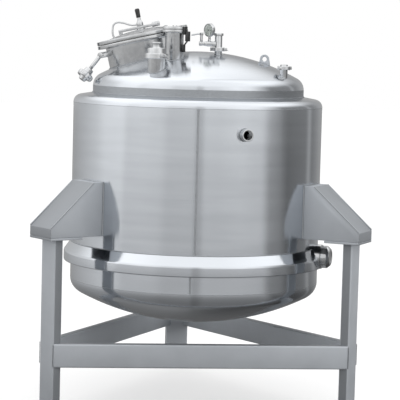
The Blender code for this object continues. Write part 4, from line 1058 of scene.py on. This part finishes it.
section = [(0, 0.0397), (0.0095, 0.0397), (0.012, 0.037), (0.012, 0.028), (0.0105, 0.026), (0.0105, 0.012),
           (0.012, 0.010), (0.012, 0.0003), (0, 0.0003)]
cock = lathe("cock_body", section, RISER @ moved(0.0605, 0, 0.056) @ turned(90, "Y"), 32, edge=0.0005)
post = bar("cock_post", (0.088, 0, 0.056), (0.088, 0, 0.098), 0.007, RISER)
hand_over(join(cock, post), "vent_cock")
HUB = RISER @ moved(0.088, 0, 0.0983)
hub = lathe("cock_lever", [(0, 0.015), (0.0075, 0.015), (0.0095, 0.013), (0.0095, 0), (0, 0)], HUB, 32,
            edge=0.0005)
arm = bent_wire("lever_arm", [(0.004, 0, 0.008), (0.020, 0, 0.0065), (0.038, 0, 0.003), (0.052, 0, 0.0)],
                0.0045, HUB)
hand_over(join(hub, arm), "vent_lever", body="lever")
print("riser group done")

# %% [markdown]
# ## Lugs, socket and ring nozzle
# The lifting lugs are plates with a round head and an eye. The front socket is a threaded half coupling:
# its thread is a fine saw-tooth inside the bore. The ring nozzle is a collar with a knurled cap, and the
# knurls are small ribs round the rim, modelled once and copied.

# %% Lifting lugs
for side, azimuth, reach in (("right", 346.0, 0.343), ("back", 104.0, 0.340)):
    place = on_head(azimuth, reach) @ upright
    plate = [(-0.030, -0.008), (0.030, -0.008), (0.028, 0.003)] + circle(0.024, 0, 180, 24, (0, 0.024))
    plate += [(-0.028, 0.003)]
    lug = slab("lug_plate_" + side, plate, -0.006, 0.006, place, edge=0)
    cut(lug, bar("lug_eye", (0, 0.024, -0.02), (0, 0.024, 0.02), 0.012, place, sides=48, edge=0))
    hand_over(soften(lug, 0.0015), "lifting_lug_" + side, finish=STAND_STEEL)
    for way, end in ((-1, "near"), (1, "far")):
        foot = [place @ Vector((0.0029 * i - 0.029, -0.003, way * 0.0075)) for i in range(21)]
        centre = Vector((0, AXIS_Y, ball_centre()))
        foot = [centre + (p - centre).normalized() * (VESSEL["crown"] + 0.001) for p in foot]
        bead(f"lug_weld_{side}_{end}", foot, 0.003)

# %% Front socket and ring nozzle
section = [(0.030, 0.045), (0.030, -0.010), (0.022, -0.010), (0.022, 0.004)]
for i in range(12):
    section += [(0.0235, 0.0055 + i * 0.003), (0.0220, 0.0070 + i * 0.003)]
section += [(0.0240, 0.045)]
hand_over(lathe("socket_coupling", section, SOCKET, 64, edge=0.0004, closed=True), "jacket_socket")
rim = [SOCKET @ Vector((x, y, 0)) for x, y in circle(0.0312, steps=48)]
axis = Vector((0, AXIS_Y, 0))
rim = [Vector((0, AXIS_Y, p.z)) + (p - axis).to_2d().normalized().to_3d() * 0.6510 for p in rim]
bead("socket_weld", rim, 0.0032, closed=True)

section = [(0.048, 0.066), (0.048, 0.0382), (0.0625, 0.0382), (0.0625, -0.003), (0.044, -0.003),
           (0.044, 0.066)]
hand_over(lathe("belt_collar", section, COLLAR, 96, closed=True), "ring_nozzle")
section = [(0, 0.0825), (0.028, 0.0825), (0.030, 0.085), (0.041, 0.085), (0.0435, 0.0838), (0.0548, 0.0710),
           (0.056, 0.068), (0.056, 0.0385), (0.0483, 0.0385), (0.0483, 0.0663), (0, 0.0663)]
cap = lathe("ring_cap", section, COLLAR, 96)
rib = box("rib", (0.0550, -0.0016, 0.0410), (0.0578, 0.0016, 0.0670), edge=0.0008)
ribs = repeated(rib, "rib_copy", [COLLAR @ turned(11.25 * i) for i in range(32)])
hand_over(join(cap, *ribs), "ring_nozzle_cap")
print("side fittings done")

# %% [markdown]
# ## The stand
# The brackets and base plates are cut and folded from plate. The CAD's meshes have the right shape but
# knife-sharp edges, so each is copied, its loose triangles are merged and its flat faces are joined again,
# and a bevel then gives it the radius that blasting leaves.

# %% Brackets and base plates
AZIMUTHS = {"back": 90.0, "left": 210.0, "right": 330.0}


def softened_copy(node, name, edge):
    """A merged copy of a CAD node with rounded edges."""
    only(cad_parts[node])
    bpy.ops.object.duplicate(linked=False)
    thing = bpy.context.object
    thing.name = thing.data.name = name
    thing.parent = None
    for key in list(thing.keys()):
        del thing[key]
    bpy.ops.object.mode_set(mode="EDIT")
    bpy.ops.mesh.select_all(action="SELECT")
    bpy.ops.mesh.remove_doubles(threshold=1e-5)
    bpy.ops.mesh.dissolve_limited(angle_limit=radians(1.0))
    bpy.ops.object.mode_set(mode="OBJECT")
    return soften(thing, edge, 3)


for side in AZIMUTHS:
    gusset = softened_copy("gusset_" + side, "bracket_" + side, 0.0025)
    hand_over(gusset, "gusset_" + side, finish=STAND_STEEL)
    plate = softened_copy("base_plate_" + side, "seat_plate_" + side, 0.002)
    hand_over(plate, "base_plate_" + side, finish=STAND_STEEL)

# %% [markdown]
# Legs and beams are rectangular hollow section, whose corners are rolled to a radius of about 8 mm. Each is
# a box whose long edges alone are selected by their direction and bevelled. The beams are then cut to the
# legs' shape, as a fitter does before welding.

# %% Legs and beams
LEG_OUT, LEG_DEEP, LEG_WIDE = 0.873, 0.050, 0.125
LEG_TOP = 0.8757
FOOT_DEEP, FOOT_WIDE, FOOT_THICK = 0.120, 0.190, 0.012


def hollow_section(name, low, high, along, place, radius=0.008):
    """A rectangular tube with rolled corners: its edges along one axis are bevelled."""
    thing = cuboid(name, low, high)
    bpy.ops.object.transform_apply(location=True, rotation=True, scale=True)
    points = thing.data.vertices
    for edge in thing.data.edges:
        run = points[edge.vertices[1]].co - points[edge.vertices[0]].co
        edge.select = abs(run[along]) > 0.9 * run.length
    for face in thing.data.polygons:
        face.select = False
    bpy.ops.object.mode_set(mode="EDIT")
    bpy.ops.mesh.select_mode(type="EDGE")
    bpy.ops.mesh.bevel(offset=radius, segments=5)
    bpy.ops.mesh.select_mode(type="VERT")
    bpy.ops.object.mode_set(mode="OBJECT")
    return put(thing, place)


def room_for_leg(azimuth):
    """The tool that cuts a beam to a leg: the leg's outline and a gap round it."""
    deep, wide = LEG_DEEP / 2 + GAP, LEG_WIDE / 2 + GAP
    return box("room", (LEG_OUT - deep, -wide, 0.0), (LEG_OUT + deep, wide, LEG_TOP), about_axis(azimuth),
               edge=0)


for side, azimuth in AZIMUTHS.items():
    place = about_axis(azimuth)
    leg = hollow_section("leg_tube_" + side, (LEG_OUT - LEG_DEEP / 2, -LEG_WIDE / 2, FOOT_THICK),
                         (LEG_OUT + LEG_DEEP / 2, LEG_WIDE / 2, LEG_TOP), 2, place)
    foot = box("foot", (LEG_OUT - FOOT_DEEP / 2, -FOOT_WIDE / 2, 0),
               (LEG_OUT + FOOT_DEEP / 2, FOOT_WIDE / 2, FOOT_THICK), place, edge=0.002)
    hand_over(join(soften(leg), foot), "leg_" + side, finish=LEG_STEEL)

BEAMS = {"front": (270.0, "left", "right"), "right": (30.0, "right", "back"),
         "left": (150.0, "left", "back")}
BEAM_LOW, BEAM_TALL = 0.236, 0.120
outer = LEG_OUT + LEG_DEEP / 2
BEAM_OUT = outer * cos(pi / 3) + LEG_WIDE / 2 * sin(pi / 3)
BEAM_HALF = outer * sin(pi / 3) - LEG_WIDE / 2 * cos(pi / 3)
for name, (azimuth, *sides) in BEAMS.items():
    beam = hollow_section("beam_tube_" + name, (BEAM_OUT - LEG_DEEP, -BEAM_HALF, BEAM_LOW),
                          (BEAM_OUT, BEAM_HALF, BEAM_LOW + BEAM_TALL), 1, about_axis(azimuth))
    cut(beam, *[room_for_leg(AZIMUTHS[side]) for side in sides])
    hand_over(soften(beam), "beam_" + name, finish=LEG_STEEL)
print("beam reach", round(BEAM_OUT, 4), "half length", round(BEAM_HALF, 4))

# %% [markdown]
# ## Welds and bolts of the stand
# Fillet welds run where the brackets meet the jacket, where the legs meet their plates and where the beams
# meet the legs. Each foot plate has two anchor bolts.

# %% Stand welds and anchor bolts
hex_head = bar("hex_head", (0, 0, 0), (0, 0, 0.008), 0.0105, sides=6, edge=0.0008)
washer = bar("washer", (0, 0, -0.0018), (0, 0, 0), 0.014, sides=32, edge=0.0004)
bolt_head = join(hex_head, washer)
BOLT_SPOTS = [(LEG_OUT + x, y, 0.0138) for y in (-0.078, 0.078) for x in (-0.042, 0.042)]
bolts = repeated(bolt_head, "anchor", [about_axis(azimuth) @ moved(*spot) for azimuth in AZIMUTHS.values()
                                       for spot in BOLT_SPOTS])
BRACKET_HALF = 0.100
BRACKET_TOP = 1.157
SHOULDER_EDGE, LIP_EDGE = (0.700, BRACKET_TOP), (0.944, 0.939)
reach = sqrt(JACKET["radius"] ** 2 - BRACKET_HALF ** 2) + 0.001
spread = 2 * asin(BRACKET_HALF / JACKET["radius"]) * 180 / pi
wide, deep = LEG_WIDE / 2 + 0.001, LEG_DEEP / 2 + 0.001
corners = [(LEG_OUT - deep, -wide), (LEG_OUT + deep, -wide), (LEG_OUT + deep, wide), (LEG_OUT - deep, wide)]
for side, azimuth in AZIMUTHS.items():
    place = about_axis(azimuth)
    for way, hand in ((-1, "l"), (1, "r")):
        across = way * (BRACKET_HALF + 0.0015)
        bead(f"bracket_weld_{side}_{hand}", straight((reach, across, 0.890), (reach, across, BRACKET_TOP)),
             0.0045, place)
        across = way * (BRACKET_HALF - 0.0015)
        seam = straight((LIP_EDGE[0], across, LIP_EDGE[1]), (SHOULDER_EDGE[0], across, SHOULDER_EDGE[1]))
        bead(f"bracket_seam_{side}_{hand}", seam, 0.0035, place)
    bead("bracket_weld_top_" + side, girth(0.6515, BRACKET_TOP + 0.002, -spread / 2, spread / 2), 0.004,
         place)
    for level, height in (("top", LEG_TOP), ("foot", FOOT_THICK + 0.0005)):
        path = []
        for here, there in zip(corners, corners[1:] + corners[:1]):
            path += straight((*here, height), (*there, height))[:-1]
        bead(f"leg_weld_{level}_{side}", path, 0.0035, place, closed=True)
hand_over(join(*bolts)).name = "anchor_bolts"
for name, (azimuth, *_) in BEAMS.items():
    for way, hand in ((-1, "l"), (1, "r")):
        face = straight((BEAM_OUT, way * BEAM_HALF, BEAM_LOW + 0.006),
                        (BEAM_OUT, way * BEAM_HALF, BEAM_LOW + BEAM_TALL - 0.006))
        bead(f"beam_weld_{name}_{hand}", face, 0.0022, about_axis(azimuth))
print("anchor bolts:", len(bolts))

# %% [markdown]
# ## Studio
# Steel shows its surroundings, so the studio is the real paint. Pale walls stand in front and at the left, a
# broad dark screen at the right and a darker room behind, under a ceiling that glows ever brighter. The
# walls' brightness follows the direction round the tank, in degrees, with 0 at the camera's side and larger
# angles at its right. The dip at 0 is the camera on its stand, and the peak at 124 is a gap in the screen.
# One function works it out, because the world and the floor both use it. The floor mirrored in the steel
# glows with light and shade painted into it: it takes its shade from the wall behind it, and a painted
# shadow makes it darker the nearer it lies to the tank, by a ramp that goes by the distance in metres.
# Camera rays get a plain white backdrop and a pale floor instead, as a cut-out product photograph has: the
# floor glows a little, so that its shadow stays light. Two soft lamps cast that shadow, and aren't mirrored
# in the steel.

# %% Studio walls
WALLS = [(-180, 0.40), (-120, 0.85), (-105, 1.00), (-93, 1.30), (-72, 1.40), (-65, 1.20), (-50, 1.30),
         (-32, 1.20), (-25, 1.00), (-3, 1.00), (0, 0.75), (4, 0.80), (8, 1.10), (20, 1.10), (42, 1.35),
         (60, 1.20), (80, 0.50), (85, 0.30), (118, 0.30), (124, 0.50), (130, 0.30), (150, 0.45),
         (180, 0.40)]
GROUND = [(-180, 0.37), (-150, 0.42), (-90, 0.78), (-71, 0.78), (-66, 0.67), (-34, 0.65), (-26, 0.58),
          (-3, 0.58), (0, 0.43), (4, 0.48), (8, 0.60), (61, 0.58), (69, 0.28), (81, 0.28), (90, 0.15),
          (118, 0.23), (124, 0.43), (130, 0.24), (150, 0.35), (180, 0.37)]
CEILING = [(-180, 1.55), (-90, 1.55), (-40, 1.35), (40, 1.35), (100, 1.55), (135, 1.40), (150, 1.00),
           (165, 1.40), (180, 1.55)]
# painted shadow of the tank on the mirrored floor: the share of its light left at each distance in metres
FLOOR_PAINTED_SHADOW = [(0.8, 0.34), (1.5, 0.46), (2.5, 0.62), (3.5, 0.75), (5.0, 0.87), (8.0, 1.00)]
FAR = 10.0


def round_the_room(tree, x, y, shades):
    """Brightness by the direction of (x, y). A ramp stops at 1, so the shades go in halved."""
    turn = add(tree, "Math.Value", {0: y, 1: x}, operation="ARCTAN2")
    share = add(tree, "Math.Value", {0: turn, 1: 1 / (2 * pi), 2: 1.5 - CAMERA_AZIMUTH / 360},
                operation="MULTIPLY_ADD")
    share = add(tree, "Math.Value", {0: share}, operation="FRACT")
    stops = [(0.5 + angle / 360, shade / 2) for angle, shade in shades]
    half = add(tree, "ValToRGB.Color", {"Fac": share}, stops)
    return add(tree, "VectorMath.Vector", {0: half, "Scale": 2.0}, operation="SCALE")


world = bpy.data.worlds.new("studio")
bpy.context.scene.world = world
world.use_nodes = True
tree = world.node_tree
x, y, z = add(tree, "SeparateXYZ", {"Vector": add(tree, "TexCoord.Generated")}).outputs
walls = round_the_room(tree, x, y, WALLS)
above = round_the_room(tree, x, y, CEILING)
lift = add(tree, "MapRange.Result", {"Value": z, "From Min": 0.30, "From Max": 0.72},
           interpolation_type="SMOOTHSTEP")
room = add(tree, "Mix.Result", {"Factor": lift, "A": walls, "B": above}, data_type="RGBA")
seen = add(tree, "LightPath.Is Camera Ray")
shown = add(tree, "Background.Background", {"Color": (1, 1, 1, 1)})
lit = add(tree, "Background.Background", {"Color": room})
both = add(tree, "MixShader.Shader", {"Fac": seen, 1: lit, 2: shown})
wire(tree, tree.nodes["World Output"], Surface=both)

# %% Studio floor and lamps
floor = fresh("studio_floor", bpy.ops.mesh.primitive_plane_add, size=80.0, location=(0, 0, -0.0005))
paint, tree, shader = new_finish("matt_white_studio_floor", Roughness=0.9, Emission_Strength=0.58,
                                 Emission_Color=(1, 1, 1, 1))
shader.inputs["Base Color"].default_value = linear("#A2A2A2")
spot = add(tree, "TexCoord.Object")
spot = add(tree, "VectorMath.Vector", {0: spot, 1: (0, -AXIS_Y, 0)}, operation="ADD")
x, y, _ = add(tree, "SeparateXYZ", {"Vector": spot}).outputs
# the mirrored floor's painted light and shade: its shade by direction, darkened by a painted shadow near the
# tank
away = add(tree, "VectorMath.Value", {0: spot}, operation="LENGTH")
near = add(tree, "Math.Value", {0: away, 1: FAR}, operation="DIVIDE")
near = add(tree, "ValToRGB.Color", {"Fac": near}, [(reach / FAR, shade) for reach, shade in FLOOR_PAINTED_SHADOW])
walls = round_the_room(tree, x, y, GROUND)
colour = add(tree, "VectorMath.Vector", {0: walls, 1: near}, operation="MULTIPLY")
mirrored = add(tree, "Emission.Emission", {"Color": colour})
seen = add(tree, "LightPath.Is Camera Ray")
both = add(tree, "MixShader.Shader", {"Fac": seen, 1: mirrored, 2: shader.outputs["BSDF"]})
wire(tree, tree.nodes["Material Output"], Surface=both)
floor.data.materials.append(paint)
floor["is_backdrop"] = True

for name, place, size, power in (("ceiling_lamp", (-0.8, -1.5, 4.6), 2.6, 35.0),
                                 ("right_lamp", (4.4, -1.8, 1.4), 1.8, 110.0)):
    lamp = fresh(name, bpy.ops.object.light_add, type="AREA", location=place)
    lamp.data.size = size
    lamp.data.energy = power
    lamp.visible_glossy = False
    lamp.rotation_euler = (Vector((0, AXIS_Y, 1.0)) - Vector(place)).to_track_quat("-Z", "Y").to_euler()
bpy.context.scene.view_settings.view_transform = "Standard"
bpy.context.scene.view_settings.look = "None"

# %% [markdown]
# ## Hand over
# Both boxes, the CAD's and that of the finished pieces, are written down, so that they can be compared.

# %% Write the sizes and finish
low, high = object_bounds()
{"cad": [list(cad_low), list(cad_high)], "visual": [list(low), list(high)]}
print("visual box:", [round(v, 3) for v in (*low, *high)])
